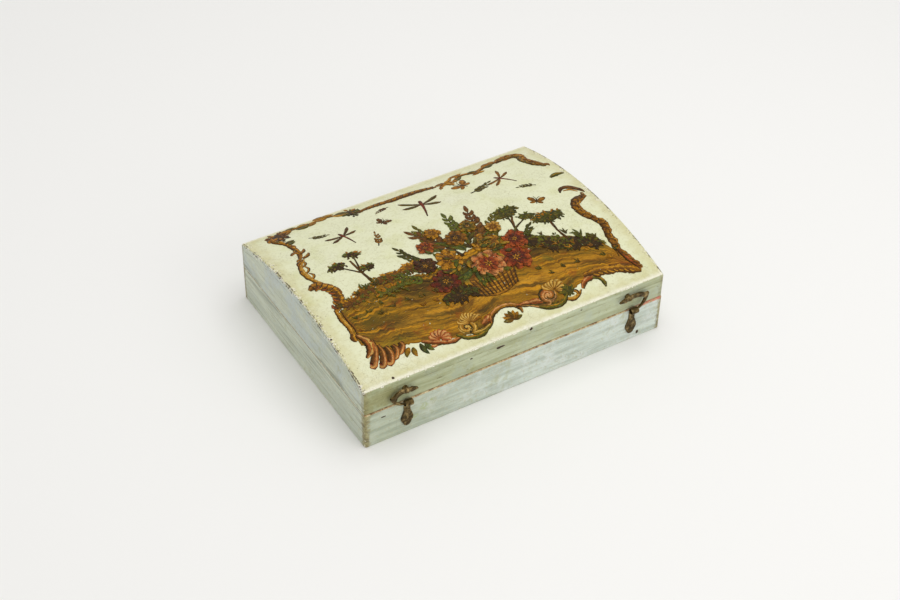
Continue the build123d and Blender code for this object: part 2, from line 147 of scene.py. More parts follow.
class Finish(Nodes):
    # one material, with patterns that lie in the object's own millimetres
    def __init__(self, name, roughness=0.5, metallic=0.0):
        self.material = bpy.data.materials.new(name)
        self.material.use_nodes = True
        Nodes.__init__(self, self.material.node_tree)
        self.shader = self.tree.nodes["Principled BSDF"]
        self.set("Roughness", roughness)
        self.set("Metallic", metallic)
        self.place = self.add("TexCoord", "Object", {})

    def set(self, name, value):
        self.put(self.shader.inputs[name], value)

    def axes(self, vector):
        x = self.add("SeparateXYZ", 0, {0: vector})
        return [Signal(self, output) for output in x.socket.node.outputs]

    def millimetres(self):
        return [axis * (1 / mm) for axis in self.axes(self.place)]

    def facing(self):
        return self.axes(self.add("TexCoord", "Normal", {}))

    def attribute(self, name, out):
        return self.add("Attribute", out, {}, attribute_name=name)

    def mapped(self, stretch=(1, 1, 1), shift=(0, 0, 0), vector=None):
        return self.add("Mapping", 0, {"Vector": vector or self.place, "Scale": [1 / s for s in stretch],
            "Location": [s * mm for s in shift]})

    def noise(self, size, detail=3.0, rough=0.55, vector=None, distortion=0.0, out="Fac"):
        return self.add("TexNoise", out, {"Vector": vector or self.place, "Scale": 1 / (size * mm),
            "Detail": detail, "Roughness": rough, "Distortion": distortion})

    def colourNoise(self, size):
        return self.noise(size, 3.0, 0.5, out="Color")

    def cells(self, size, vector, **settings):
        return self.add("TexVoronoi", "Distance", {"Vector": vector, "Scale": 1 / (size * mm)}, **settings)

    def cracks(self, size, width, wobble=0.35):
        # thin wavering lines between cells, 1 on the line
        moved = self.add("MixRGB", 0, {"Fac": wobble * size * mm, "Color1": self.place,
            "Color2": self.colourNoise(size / 0.7)}, blend_type="LINEAR_LIGHT")
        return self.step(self.cells(size, moved, feature="DISTANCE_TO_EDGE"), width / size, 0.0)

    def spots(self, size, reach):
        # scattered round spots, 1 in their middle
        return self.step(self.cells(size, self.place), reach / size, 0.3 * reach / size)

    def finish(self, tint, relief=None, height=0.0, roughness=None):
        # the colour, the bump of a relief with its height in millimetres, and the roughness
        self.set("Base Color", tint)
        if roughness is not None:
            self.set("Roughness", roughness)
        if relief is not None:
            self.set("Normal", self.add("Bump", 0, {"Strength": 1.0, "Distance": height * mm,
                "Height": relief}))
        return self.material


# Paint of the box: gesso, cream on the lid's top, blue-grey below, red inside, all rubbed and yellowed
paint = {
    "cream": "#dddebb", "creamShade": "#d0d19f", "creamPale": "#e4e3cc", "varnish": "#bdb06a",
    "lidSide": "#c2c9a9", "lidSideShade": "#a6ab86", "lidSidePatch": "#b4bda8",
    "baseSide": "#d3dcd1", "baseSideShade": "#b6c0b3", "baseSidePatch": "#dbe1db",
    "endSide": "#c1c8b6", "endLight": "#d0d6c2", "endDark": "#858a72", "stain": "#9a8f4e",
    "gesso": "#f1eede", "wood": "#4a3522", "grime": "#33291b", "red": "#b4533a",
    "redShade": "#8e3a29", "redPale": "#c87a58",
    "streakPale": "#d3d6c4", "lidEndBlue": "#c1cbc9", "jointSmear": "#767b66",
    "oldStain": "#a4a66c", "leftwardDarkening": "#c9c9a6", "greenStain": "#a0ad68", "oliveStain": "#8c8650",
    "seam": "#5c5636", "crackle": "#7d7446", "pinhole": "#6f5f38", "pitDust": "#b7b083",
    "crumb": "#6d5c3a", "scratch": "#6b6038", "lidRim": "#86633e", "redRim": "#cd7c66",
    "shine": 0.25,
}

# Wear by kind of edge: gesso is bare where this times a 0 to 1 noise, less the distance in mm, is over 2.7
wearReach = {"corner": 5.9, "arc": 6.9, "eave": 5.7, "foot": 5.6, "joint": 6.4}

# Single marks on the front, each by its middle in X and Z and its half width and half height in millimetres
frontMarks = {
    "chips": (
        (10.7, 59.3, 2.0, 1.7), (-19.9, 52.7, 5.0, 1.3), (-48.0, 52.6, 1.4, 0.8), (-120.6, 62.2, 1.2, 0.35),
        (125.5, 5.5, 1.3, 2.2), (-132.3, 28.0, 2.8, 0.7), (62.0, 58.0, 1.2, 0.6),
    ),
    "greens": ((-93.0, 21.0, 4.6, 4.0), (-103.0, 14.0, 3.4, 2.6), (-86.0, 26.0, 2.4, 1.6)),
    "olives": ((-132.0, 49.0, 14.0, 9.0), (-146.0, 44.0, 5.0, 12.0)),
}


def edgeDistances(f, x, y, z):
    # how far a point of the skin lies from each kind of edge, in millimetres
    side = halfLength - abs(x)
    offMiddle = y - lidMiddleY
    depth = lidHalfDepth - abs(offMiddle)
    rise = z - domeAxisZ
    squares = offMiddle * offMiddle + rise * rise
    below = domeRadius - f.calc("SQRT", squares)
    return {"side": side, "depth": depth, "below": below, "arc": f.most(side, below),
        "eave": f.most(depth, below), "corner": f.most(side, depth), "joint": abs(z - jointZ), "foot": z}


def frontPatch(f, x, z, spots, wobble):
    # soft-edged ellipses on the front, 1 inside
    inside = 0.0
    for middleX, middleZ, wide, high in spots:
        across = (x - middleX) / wide
        up = (z - middleZ) / high
        far = f.calc("SQRT", across * across + up * up)
        inside = f.most(inside, f.step(far + wobble, 1.25, 0.75))
    return inside


def boleTint(f, strokes):
    # red distemper, brushed thin in places
    bole = f.mix(f.step(f.noise(24, 5, 0.65), 0.35, 0.68), paint["redShade"], paint["red"])
    return f.lay(bole, f.step(strokes, 0.45, 0.75), 0.38, paint["redPale"])


def paintedBoards(name, sideNames, isLid):
    f = Finish(name, roughness=0.42)
    x, y, z = f.millimetres()
    edge = edgeDistances(f, x, y, z)
    normal = f.facing()
    upward = f.step(normal[2], 0.55, 0.8)
    front = f.step(normal[1], -0.5, -0.7)
    endFace = f.step(abs(normal[0]), 0.6, 0.8)
    patches = f.noise(46, 3)
    cloud = f.noise(19, 4, 0.6)
    grit = f.noise(2.1, 4, 0.6)
    fine = f.noise(0.7, 3, 0.6)
    ragged = f.noise(4.2, 5, 0.68)
    brushed = f.noise(5, 4, 0.6, f.mapped(stretch=(9, 9, 0.8)))
    sideTint, sideShade, sidePatch = (paint[key] for key in sideNames)

    # sides: brushed colour with paler clouds, the ends streaked from front to back
    tint = f.mix(f.step(brushed, 0.34, 0.66), sideShade, sideTint)
    tint = f.lay(tint, f.step(cloud, 0.48, 0.68), 0.75, sidePatch)
    streaks = f.noise(6, 4, 0.62, f.mapped(stretch=(1, 13, 0.36)))
    broad = f.noise(20, 3, 0.6, f.mapped(stretch=(1, 4, 0.6), shift=(0, 30, 11)))
    endTint = f.mix(f.step(broad, 0.4, 0.6), paint["endLight"], paint["endSide"])
    endTint = f.lay(endTint, f.step(streaks, 0.52, 0.68), 0.72, paint["endDark"])
    endTint = f.lay(endTint, f.step(streaks, 0.45, 0.34), 0.9, paint["streakPale"])
    if isLid:
        endTint = f.lay(endTint, f.step(f.noise(26, 3, 0.6), 0.42, 0.6), 0.7, paint["lidEndBlue"])
    nearJoint = f.step(edge["joint"], 13, 3)
    smears = f.noise(9, 4, 0.66, f.mapped(stretch=(1, 7, 0.5), shift=(0, 60, 5)))
    endTint = f.mix(f.step(smears, 0.5, 0.62) * (nearJoint * 0.7), endTint, paint["jointSmear"])
    tint = f.lay(tint, endFace, 0.95, endTint)
    stains = f.step(f.noise(13, 4, 0.62), 0.58, 0.74) * 0.45
    tint = f.mix(stains, tint, paint["oldStain"])
    # the front is multiplied darker and yellower towards its left end
    leftwardDarkening = f.step(x, 10, -150) * front
    tint = f.mix(leftwardDarkening * 0.55, tint, paint["leftwardDarkening"], "MULTIPLY")
    wobble = (ragged - 0.5) * 1.6
    green = frontPatch(f, x, z, frontMarks["greens"], wobble) * front
    green = green * f.step(grit, 0.36, 0.56)
    tint = f.lay(tint, green, 0.5, paint["greenStain"])
    olive = frontPatch(f, x, z, frontMarks["olives"], wobble) * front
    tint = f.lay(tint, olive, 0.5, paint["oliveStain"])

    if isLid:
        # top: cream that yellows in soft clouds and near its edges
        top = f.lay(paint["cream"], f.step(cloud, 0.44, 0.7), 0.6, paint["creamShade"])
        top = f.lay(top, f.step(patches, 0.52, 0.75), 0.4, paint["creamPale"])
        nearest = f.least(edge["arc"], edge["eave"])
        yellowing = f.noise(8, 4, 0.62) * 24 + nearest
        top = f.lay(top, f.step(yellowing, 30, 10), 0.5, paint["varnish"])
        # a pale band in the gesso colour along the eaves: partly rubbed gesso, partly a painted highlight on
        # the edge
        eaveWearAndHighlight = edge["eave"] - ragged * 6.0
        top = f.lay(top, f.step(eaveWearAndHighlight, 2.5, -2.5), 0.8, paint["gesso"])
        tint = f.mix(upward, tint, top)
        seam = abs(edge["below"] - lidShape["staveThickness"])
        line = f.step(seam, 0.55, 0.1) * f.step(f.noise(11, 3), 0.4, 0.6) * (1.0 - upward)
        tint = f.lay(tint, line, 0.5, paint["seam"])

    # fine cracks of the varnish, brown pinholes and dust in the pits
    crackle = f.most(f.cracks(5.5, 0.16), f.cracks(1.9, 0.1) * 0.5)
    crackle = crackle * f.step(f.noise(22, 3), 0.4, 0.65)
    tint = f.lay(tint, crackle, 0.34, paint["crackle"])
    specks = f.spots(4.2, 0.7) * f.step(f.noise(9, 2), 0.5, 0.62)
    tint = f.lay(tint, specks, 0.5, paint["pinhole"])
    tint = f.lay(tint, f.step(grit, 0.5, 0.7), 0.4, paint["pitDust"])

    if isLid:
        # flaked gesso in a band along the arcs, brown scratches on the front
        zone = f.step(edge["arc"] + f.noise(16, 3) * 16, 13.5, 9)
        tint = f.mix(f.step(grit, 0.5, 0.6) * (zone * 0.7), tint, paint["gesso"])
        crumbs = f.noise(1.9, 4, 0.66, f.mapped(shift=(17, 5, 3)))
        tint = f.mix(f.step(crumbs, 0.56, 0.62) * zone, tint, paint["crumb"])
        scratches = f.step(f.noise(1.8, 4, 0.66, f.mapped(stretch=(2.6, 1, 1))), 0.6, 0.66)
        scratches = scratches * (f.step(f.noise(15, 3), 0.48, 0.62) * front)
        tint = f.lay(tint, scratches, 0.6, paint["scratch"])

    # corners: the joint shows through as an ochre strip with dark marks across the grain
    cornerStrip = edge["corner"] + f.noise(3.4, 4, 0.6) * 8
    marks = f.noise(3.4, 4, 0.7, f.mapped(stretch=(1.6, 1.6, 0.8)))
    strip = f.step(cornerStrip, 9.8, 6.4) * (0.45 if isLid else 0.85) * (1.0 - upward)
    tint = f.mix(strip, tint, f.ramp(marks, (0.36, "#4f4322"), (0.48, "#857747"), (0.62, "#a59d6e")))

    # wear: bare gesso along the edges, wood where it goes deep, grime beside it
    rubbed = ragged * wearReach["corner"] - edge["corner"]
    for kind in ("arc", "eave") if isLid else ("foot",):
        rubbed = f.most(rubbed, ragged * wearReach[kind] - edge[kind])
    atJoint = ragged * wearReach["joint"] - (1.5 if isLid else 0.35)
    rubbed = f.most(rubbed, atJoint - edge["joint"])
    chips = f.spots(19, 1.5) * f.step(f.noise(31, 1), 0.53, 0.56)
    rubbed = rubbed + chips * 4.0
    single = frontPatch(f, x, z, frontMarks["chips"], wobble) * f.step(y, 0, -60)
    rubbed = f.most(rubbed, single * 5.0)
    tint = f.lay(tint, f.step(rubbed, 1.9, 3.0), 0.4, paint["stain"])
    bare = f.step(rubbed, 2.7, 3.0)
    tint = f.mix(bare, tint, paint["gesso"])
    deep = f.step(rubbed + fine * 0.7, 3.7, 3.95)
    if isLid:
        crack = f.step(abs(edge["arc"] + grit * 2.4 - 2.6), 0.7, 0.3)
        deep = f.most(deep, crack * f.step(f.noise(10, 3, 0.7), 0.5, 0.56) * 0.85)
    tint = f.mix(deep, tint, f.mix(fine, paint["wood"], paint["grime"]))

    # the rim at the joint: brown on the lid, tan and broken below it, red at the right where it is whole
    width = (0.35 if isLid else 1.15) + f.step(x, 106, 130) * 0.8
    rim = edge["joint"] + f.noise(3.1, 4, 0.6) * 1.4 - width
    brokenRim = ((0.38, "#77532f"), (0.45, "#a98459"), (0.54, "#c8b080"), (0.66, "#dbd2ac"))
    rimTint = paint["lidRim"] if isLid else f.ramp(ragged, *brokenRim)
    wholeRed = f.step(x, 108, 128) * f.step(f.noise(3.6, 4, 0.6), 0.42, 0.54)
    rimTint = f.mix(wholeRed, rimTint, paint["redRim"])
    strength = 0.92 - endFace * 0.74
    tint = f.mix(f.step(rim, 0.75, 0.25) * strength, tint, rimTint)

    # inside: red bole, uneven and rubbed on the edges
    wall = lidShape["wall"]
    inner = f.step(edge["side"], wall - 0.7, wall - 0.5) * f.step(edge["depth"], wall - 1.4, wall - 1.2)
    inner = inner * f.step(edge["below"], 5.4, 5.6)
    inward = f.step(f.least(edge["side"], edge["depth"]), 0.9, 1.4)
    inner = f.most(inner, f.step(edge["joint"], 0.3, 0.2) * inward)
    bole = f.mix(f.step(ragged, 0.66, 0.7), boleTint(f, brushed), "#8a6a48")
    tint = f.mix(inner, tint, bole)

    rough = 0.32 + f.noise(9, 4) * 0.22 + f.most(bare, inner) * 0.3
    relief = f.noise(14, 3) * 1.6 + brushed * 0.5 + grit * 0.3 - crackle * 0.3 - (bare + deep) * 0.5
    f.set("Specular IOR Level", paint["shine"])
    return f.finish(tint, relief, 0.16, rough)


def barePine():
    f = Finish("barePine", roughness=0.72)
    rings = f.noise(6, 4, 0.6, f.mapped(stretch=(22, 1, 1)), distortion=0.6)
    tint = f.ramp(rings, (0.3, "#7c5a34"), (0.46, "#b08a58"), (0.56, "#c39f6c"), (0.7, "#93703f"))
    fibres = f.noise(1.1, 3, 0.6, f.mapped(stretch=(30, 1, 1)))
    tint = f.lay(tint, fibres, 0.5, "#6d4d2c")
    dirt = f.step(f.noise(34, 5, 0.65), 0.48, 0.7) * 0.55
    tint = f.mix(dirt, tint, "#4d3b27")
    upward = f.step(f.facing()[2], 0.5, 0.7)
    bole = f.mix(f.step(f.noise(7, 6, 0.7), 0.66, 0.7), boleTint(f, fibres), "#a5814f")
    tint = f.mix(upward, tint, bole)
    return f.finish(tint, fibres, 0.12)


def redBole():
    f = Finish("redBole", roughness=0.6)
    z = f.millimetres()[2]
    strokes = f.noise(4, 4, 0.6, f.mapped(stretch=(6, 6, 0.8)))
    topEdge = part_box("divider_cross")[1].z / mm
    rub = f.noise(5, 5, 0.68) * 4.5 - (topEdge - z)
    tint = f.mix(f.step(rub, 1.7, 2.1), boleTint(f, strokes), "#a17a4c")
    tint = f.mix(f.step(rub, 2.5, 2.8), tint, paint["wood"])
    return f.finish(tint, strokes, 0.1)


def boxLacquer():
    # the counter boxes: cream outside, red inside, ochre lines near the edges of each lid
    f = Finish("boxLacquer", roughness=0.4)
    tint = f.mix(f.step(f.noise(14, 4, 0.6), 0.4, 0.68), paint["cream"], paint["creamShade"])
    crackle = f.cracks(3.2, 0.12) * f.step(f.noise(15, 3), 0.4, 0.65)
    tint = f.lay(tint, crackle, 0.5, paint["crackle"])
    tint = f.lay(tint, f.step(f.noise(8, 5, 0.65), 0.58, 0.72), 0.5, paint["varnish"])
    x, y, z = f.millimetres()
    low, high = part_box("counter_box_right_back_lid")
    middle = ((low + high) / 2) / mm
    half = ((high - low) / 2) / mm
    across = half.x - abs(abs(x) - middle.x)
    along = half.y - abs(abs(y) - middle.y)
    rim = f.most(f.least(across, along), high.z / mm - z)
    line = abs(rim + f.noise(6, 3) * 0.9 - 5.4)
    tint = f.lay(tint, f.step(line, 1.0, 0.7), 0.85, "#a8611f")
    thin = abs(rim + f.noise(6, 3) * 0.9 - 7.6)
    tint = f.lay(tint, f.step(thin, 0.4, 0.2), 0.8, "#5b5326")
    wear = f.noise(4, 5, 0.68) * 5.0 - rim
    tint = f.mix(f.step(wear, 2.3, 2.5), tint, paint["gesso"])
    tint = f.mix(f.step(wear, 3.0, 3.2), tint, paint["wood"])
    well = f.step(across, 2.6, 2.8) * f.step(along, 2.6, 2.8)
    well = well * f.step(z, high.z / mm - 0.6, high.z / mm - 0.8)
    tint = f.mix(well, tint, boleTint(f, f.noise(5, 4, 0.6)))
    relief = f.noise(6, 3) + crackle * -0.4
    return f.finish(tint, relief, 0.12)


metal = {
    "bronze": "#5b4b2e", "bronzeLight": "#b09868", "bronzeDark": "#2b2213", "verdigris": "#4b5236",
    "iron": "#3a332c", "rust": "#5e3b22",
}


def agedBrass():
    f = Finish("agedBrass", roughness=0.38, metallic=1.0)
    patina = f.noise(4.2, 5, 0.6)
    tint = f.ramp(patina, (0.28, metal["bronzeDark"]), (0.5, metal["bronze"]), (0.74, metal["bronzeLight"]))
    pits = f.step(f.noise(0.9, 4, 0.65), 0.56, 0.7)
    tint = f.lay(tint, pits, 0.45, metal["bronzeDark"])
    green = f.step(f.noise(5, 4, 0.6, f.mapped(shift=(40, 7, 3))), 0.6, 0.72) * 0.5
    tint = f.mix(green, tint, metal["verdigris"])
    rough = 0.28 + patina * 0.3
    relief = f.noise(1.6, 4, 0.6) + pits * -0.5
    return f.finish(tint, relief, 0.14, rough)


def forgedIron():
    f = Finish("forgedIron", roughness=0.6, metallic=0.85)
    rust = f.noise(2.2, 5, 0.65)
    tint = f.ramp(rust, (0.38, metal["iron"]), (0.6, metal["rust"]))
    return f.finish(tint, f.noise(0.8, 4, 0.6), 0.12)


lidPaint = paintedBoards("lidPaint", ("lidSide", "lidSideShade", "lidSidePatch"), True)
basePaint = paintedBoards("basePaint", ("baseSide", "baseSideShade", "baseSidePatch"), False)
finishes = {
    "lid_lacquer": lidPaint, "side_lacquer": basePaint, "red_bole": redBole(), "bare_pine": barePine(),
    "box_lacquer": boxLacquer(), "aged_brass": agedBrass(), "iron_nails": forgedIron(),
}
for name, piece in nodes.items():
    isLid = name.startswith("lid_") and "pins" not in name
    for index, slotMaterial in enumerate(piece.data.materials):
        slotName = slotMaterial.name.split(".")[0]
        piece.data.materials[index] = lidPaint if isLid else finishes[slotName]
print("finishes on", len(nodes), "nodes")


# Cut paper on the lid: flat strokes laid side by side, then bent over the curve
inks = {
    "ochre": "#a36b0e", "gold": "#c58a20", "sand": "#d2a850", "brown": "#68400f", "umber": "#352408",
    "olive": "#605a12", "moss": "#3e400e", "leaf": "#585f16", "teal": "#3a4a22", "coral": "#ad5220",
    "brick": "#7c2c10", "rose": "#bb6a2c", "blush": "#d2985a", "wine": "#4e1e14",
}
paper = {
    "thickness": 0.12, "lift": 0.13, "layer": 0.0012, "shadeSpread": 0.16,
    "shine": 0.1, "frameSeed": 11, "sprigSeed": 5, "counterSeed": 60, "counterSeedStep": 10,
}


def turned(start, angle, reach):
    return Vector((start[0] + reach * math.cos(math.radians(angle)),
        start[1] + reach * math.sin(math.radians(angle))))


def scaled(size, *shares):
    return [share * size for share in shares]


def fan(centre, angle, size, *steps):
    # points at further angles and growing shares of a size
    return [turned(centre, angle + a, size * r) for a, r in steps]


def onPath(points, share):
    # a point of the smooth line through the points, with share running from 0 to 1
    spans = len(points) - 1
    at = min(max(share, 0.0), 1.0) * spans
    index = min(int(at), spans - 1)
    t = at - index
    before, start, end, after = (points[min(max(index + k, 0), spans)] for k in (-1, 0, 1, 2))
    if isinstance(start, (int, float)):
        return start + (end - start) * t * t * (3 - 2 * t)
    before, start, end, after = (Vector(p) for p in (before, start, end, after))
    return 0.5 * (2 * start + (end - before) * t + (2 * before - 5 * start + 4 * end - after) * t * t
        + (3 * start - before - 3 * end + after) * t ** 3)


def headed(points, share):
    # a place on the line and the heading there, in degrees
    ahead = onPath(points, share + 0.02) - onPath(points, share - 0.02)
    return onPath(points, share), math.degrees(math.atan2(ahead.y, ahead.x))


def inkOn(ink, share):
    # the inks that are named run into each other along a stroke
    row = [colour(inks[name]) for name in ink.split()]
    at = min(max(share, 0.0), 1.0) * (len(row) - 1)
    index = max(min(int(at), len(row) - 2), 0)
    after = row[min(index + 1, len(row) - 1)]
    return [a + (b - a) * (at - index) for a, b in zip(row[index], after)]


class CutPaper:
    def __init__(self, name, seed):
        self.name = name
        self.mesh = bmesh.new()
        self.uv = self.mesh.loops.layers.uv.new("strokes")
        self.tint = self.mesh.loops.layers.float_color.new("tint")
        self.pick = random.Random(seed)
        self.layer = 0

    def level(self, layer):
        # motifs that lie apart share the same low layers
        self.layer = layer

    def stroke(self, points, widths, ink, rows=12, across=2, band=(-0.5, 0.5), ragged=0.0):
        # a grid bent along a line; widths are whole widths, and band is the part of them that it covers
        made = bmesh.ops.create_grid(self.mesh, x_segments=rows, y_segments=across, size=0.5, calc_uvs=True)
        self.layer += 1
        height = (self.layer + self.pick.uniform(0, 0.5)) * paper["layer"]
        shades = {}
        jag = [[1 + self.pick.uniform(-ragged, ragged) for step in range(rows + 1)] for side in (0, 1)]
        for vertex in made["verts"]:
            share = vertex.co.x + 0.5
            side = vertex.co.y
            here = onPath(points, share)
            ahead = onPath(points, share + 0.01) - onPath(points, share - 0.01)
            square = Vector((-ahead.y, ahead.x)).normalized()
            reach = band[0] + (band[1] - band[0]) * (side + 0.5)
            notch = jag[side > 0][round(share * rows)]
            spot = here + square * reach * notch * onPath(widths, share)
            vertex.co = (spot.x * mm, spot.y * mm, height * mm)
            light = 1 + self.pick.uniform(-1, 1) * paper["shadeSpread"]
            shades[vertex] = [c * light for c in inkOn(ink, share)[:3]] + [1.0]
        for face in {face for vertex in made["verts"] for face in vertex.link_faces}:
            for loop in face.loops:
                loop[self.tint] = shades[loop.vert]

    def leaf(self, root, angle, length, width, ink, bend=0.0, rows=5):
        points = [turned(root, angle + bend * k * k * 30, length * k) for k in (0.0, 0.35, 0.7, 1.0)]
        self.stroke(points, scaled(width, 0.2, 1, 0.8, 0.05), ink, rows)

    def finger(self, root, angle, length, width, curl, inkPair):
        # a rounded, curled lobe with a light ridge
        dark, light = inkPair.split()
        points = [turned(root, angle + curl * k * k, length * k) for k in (0.0, 0.3, 0.65, 1.0)]
        self.stroke(points, scaled(width, 0.8, 0.9, 1, 0.35), dark, rows=6, ragged=0.08)
        self.stroke(points, scaled(width, 0.4, 0.5, 0.5, 0.1), light, rows=6, band=(-0.1, 0.6))

    def strand(self, points, width, rows, tone, swell=0.2):
        # a moulded band: dark rim, body colour, and a light ridge off its middle
        dark, body, light = strandTones.get(tone, tone).split(", ")
        widths = [width * self.pick.uniform(1 - swell, 1 + swell) for point in points]
        widths[0] *= 0.5
        widths[-1] *= 0.35
        self.stroke(points, widths, dark, rows, band=(-0.56, 0.5), ragged=0.16)
        self.stroke(points, widths, body, rows, band=(-0.36, 0.5), ragged=0.14)
        self.stroke(points, widths, light, rows, band=(0.06, 0.36), ragged=0.45)

    def tie(self, place, heading, reach, widths):
        # a dark line across a strand
        ends = [turned(place, heading + 80, reach[0]), turned(place, heading + 100, reach[1])]
        self.stroke(ends, widths, "umber", rows=5)

    def fringe(self, points, count, hand, length, width, inkPair, lean=50, curl=40):
        # fingers in a row along one side of a line
        for k in range(count):
            share = (k + 0.5 + self.pick.uniform(-0.25, 0.25)) / count
            size = self.pick.uniform(0.7, 1.15)
            place, heading = headed(points, share)
            self.finger(place, heading + hand * lean, length * size, width * size,
                -hand * curl * self.pick.uniform(0.5, 1.3), inkPair)

    def acanthus(self, points, width, ink, light, lobes=5):
        # lobed leaf: pairs of curled lobes off a rib
        for k in range(lobes):
            share = 0.05 + 0.85 * k / lobes
            size = width * (1.0 - 0.5 * share)
            place, heading = headed(points, share)
            for hand in (-1, 1):
                self.finger(place, heading + hand * 38, 1.25 * size, 0.62 * size, -hand * 30,
                    ink + " " + light)
        self.strand(points, 0.5 * width, 14, "umber, %s, %s" % (ink, light))

    def scroll(self, centre, radius, start, turns, width, dark, body, light, tail=()):
        # a curl that widens into a band and runs on through the tail's points
        steps = 9
        curl = [turned(centre, start + turns * 360 * (k / steps - 1), radius * (0.16 + 0.84 * k / steps))
            for k in range(steps + 1)]
        points = curl + [Vector(p) for p in tail]
        grow = [0.45, 0.7, 0.9, 1.0, 1.0, 0.8, 0.2] if tail else [0.45, 0.7, 0.9, 1.0, 0.8]
        widths = [width * g for g in grow]
        disc = [turned(centre, 0, radius * k) for k in (-0.96, -0.6, 0.0, 0.6, 0.96)]
        self.stroke(disc, scaled(radius, 0.5, 1.5, 1.95, 1.5, 0.5), light, rows=10, across=4)
        self.stroke(points, widths, dark, rows=34, band=(-0.58, 0.52), ragged=0.1)
        self.stroke(points, widths, body, rows=34, band=(-0.36, 0.46), ragged=0.15)
        self.stroke(points, widths, light, rows=34, band=(0.05, 0.32), ragged=0.35)

    def bloom(self, centre, size, outer, inner, heart):
        # an open garden flower, rings of shaded petals round a heart
        rings = ((9, 1.0, outer), (8, 0.76, outer), (7, 0.54, inner), (5, 0.34, inner))
        for count, reach, ink in rings:
            turn = self.pick.uniform(0, 60)
            for k in range(count):
                angle = turn + 360 * k / count + self.pick.uniform(-10, 10)
                length = size * reach * self.pick.uniform(0.85, 1.1)
                points = fan(centre, angle, length, (0, 0.1), (6, 0.5), (-5, 0.82), (0, 1.0))
                wide = length * 0.7
                self.stroke(points, scaled(wide, 0.3, 0.8, 1, 0.45), heart + " " + ink, rows=5, across=3)
        for k in range(6):
            self.leaf(turned(centre, 60 * k, 0.05 * size), 60 * k + 20, 0.2 * size, 0.1 * size, "gold",
                rows=2)

    def sprig(self, root, angle, length, ink, leafInk, pairs=4, bend=1.0, leafSize=0.3, plump=0.4):
        stem = [turned(root, angle + bend * 14 * k * k, length * k) for k in (0.0, 0.35, 0.7, 1.0)]
        self.stroke(stem, scaled(length, 0.06, 0.05, 0.035, 0.01), ink, rows=8, ragged=0.2)
        for k in range(pairs):
            share = 0.22 + 0.72 * k / pairs
            for hand in (-1, 1):
                reach = leafSize * length * (1.1 - 0.55 * share) * self.pick.uniform(0.8, 1.15)
                self.leaf(onPath(stem, share), angle + bend * 14 * share + hand * self.pick.uniform(36, 58),
                    reach, plump * reach, leafInk, hand * -0.6)
        self.leaf(onPath(stem, 0.93), angle + bend * 14, 0.8 * leafSize * length, 0.3 * leafSize * length,
            leafInk)

    def clump(self, centre, size, count, leafLength, leafInks, tilt=0):
        # a mass of foliage: a dark bed and leaves that point outwards, lighter near its top
        row = leafInks.split()
        lean = math.radians(tilt)
        bed = [Vector((size[0] * k * math.cos(lean), size[0] * k * math.sin(lean))) + Vector(centre)
            for k in (-1.0, -0.5, 0.0, 0.5, 1.0)]
        self.stroke(bed, scaled(size[1], 0.5, 1.7, 2.0, 1.7, 0.4), row[0], rows=14, across=4, ragged=0.14)
        for k in range(count):
            angle = 2 * math.pi * self.pick.random()
            reach = math.sqrt(self.pick.random())
            across, up = size[0] * reach * math.cos(angle), size[1] * reach * math.sin(angle)
            foot = (centre[0] + across * math.cos(lean) - up * math.sin(lean),
                centre[1] + across * math.sin(lean) + up * math.cos(lean))
            height = 0.5 + 0.5 * reach * math.sin(angle)
            ink = row[min(int(height * len(row) + self.pick.uniform(-0.6, 0.6)), len(row) - 1)]
            length = leafLength * self.pick.uniform(0.7, 1.2)
            self.leaf(foot, math.degrees(angle) + tilt + self.pick.uniform(-40, 40), length, 0.55 * length,
                ink, self.pick.uniform(-1, 1), rows=3)

    def tree(self, root, lean, height, crowns, leafInks):
        # a slight trunk that carries flat crowns of leaves
        top = turned(root, 90 + lean, height)
        knee = turned(root, 90 + lean * 0.2 + 8, 0.5 * height)
        self.stroke([root, knee, top], scaled(height, 0.09, 0.06, 0.04), "umber brown", rows=12, ragged=0.3)
        for offset, size, count, tilt in crowns:
            crown = (top.x + offset[0], top.y + offset[1])
            self.stroke([knee, crown], scaled(height, 0.05, 0.03), "umber", rows=6, ragged=0.3)
            self.clump(crown, size, count, 3.4, leafInks, tilt)

    def dragonfly(self, centre, angle, size, ink, light):
        for spread, reach in ((76, 1.0), (108, 0.86), (-70, 0.94), (-112, 0.8)):
            sweep = -12 if spread > 0 else 12
            points = fan(centre, angle + spread, size * reach,
                *((sweep * r, r) for r in (0.05, 0.4, 0.75, 1.0)))
            self.stroke(points, scaled(size, 0.06, 0.15, 0.19, 0.05), " ".join((ink, light, ink)), rows=9,
                ragged=0.14)
            self.stroke(points, scaled(size, 0.03, 0.05, 0.02), "umber", rows=7, across=1)
        body = [turned(centre, angle + 5 * r, size * r) for r in (-1.0, -0.35, 0.12, 0.34)]
        self.stroke(body, scaled(size, 0.05, 0.1, 0.17, 0.1), "umber brick umber", rows=10, ragged=0.12)

    def butterfly(self, centre, angle, size, ink, light):
        for hand in (-1, 1):
            for spread, reach, wide in ((56, 1.0, 0.6), (118, 0.7, 0.55)):
                points = [turned(centre, angle + hand * (spread + a), size * reach * r)
                    for a, r in ((0, 0.05), (6, 0.5), (0, 0.85), (-8, 1.0))]
                widths = [0.1 * size, wide * size * reach, 0.8 * wide * size * reach, 0.12 * size]
                self.stroke(points, widths, " ".join((ink, light, ink)), rows=8, across=3, ragged=0.08)
            feeler = [turned(centre, angle + hand * a, size * r) for a, r in ((6, 0.3), (14, 0.6), (24, 0.8))]
            self.stroke(feeler, scaled(size, 0.06, 0.05, 0.07), "umber", rows=5, across=1)
        body = [turned(centre, angle, size * r) for r in (-0.5, -0.1, 0.2, 0.38)]
        self.stroke(body, scaled(size, 0.05, 0.16, 0.14, 0.06), "umber", rows=6)

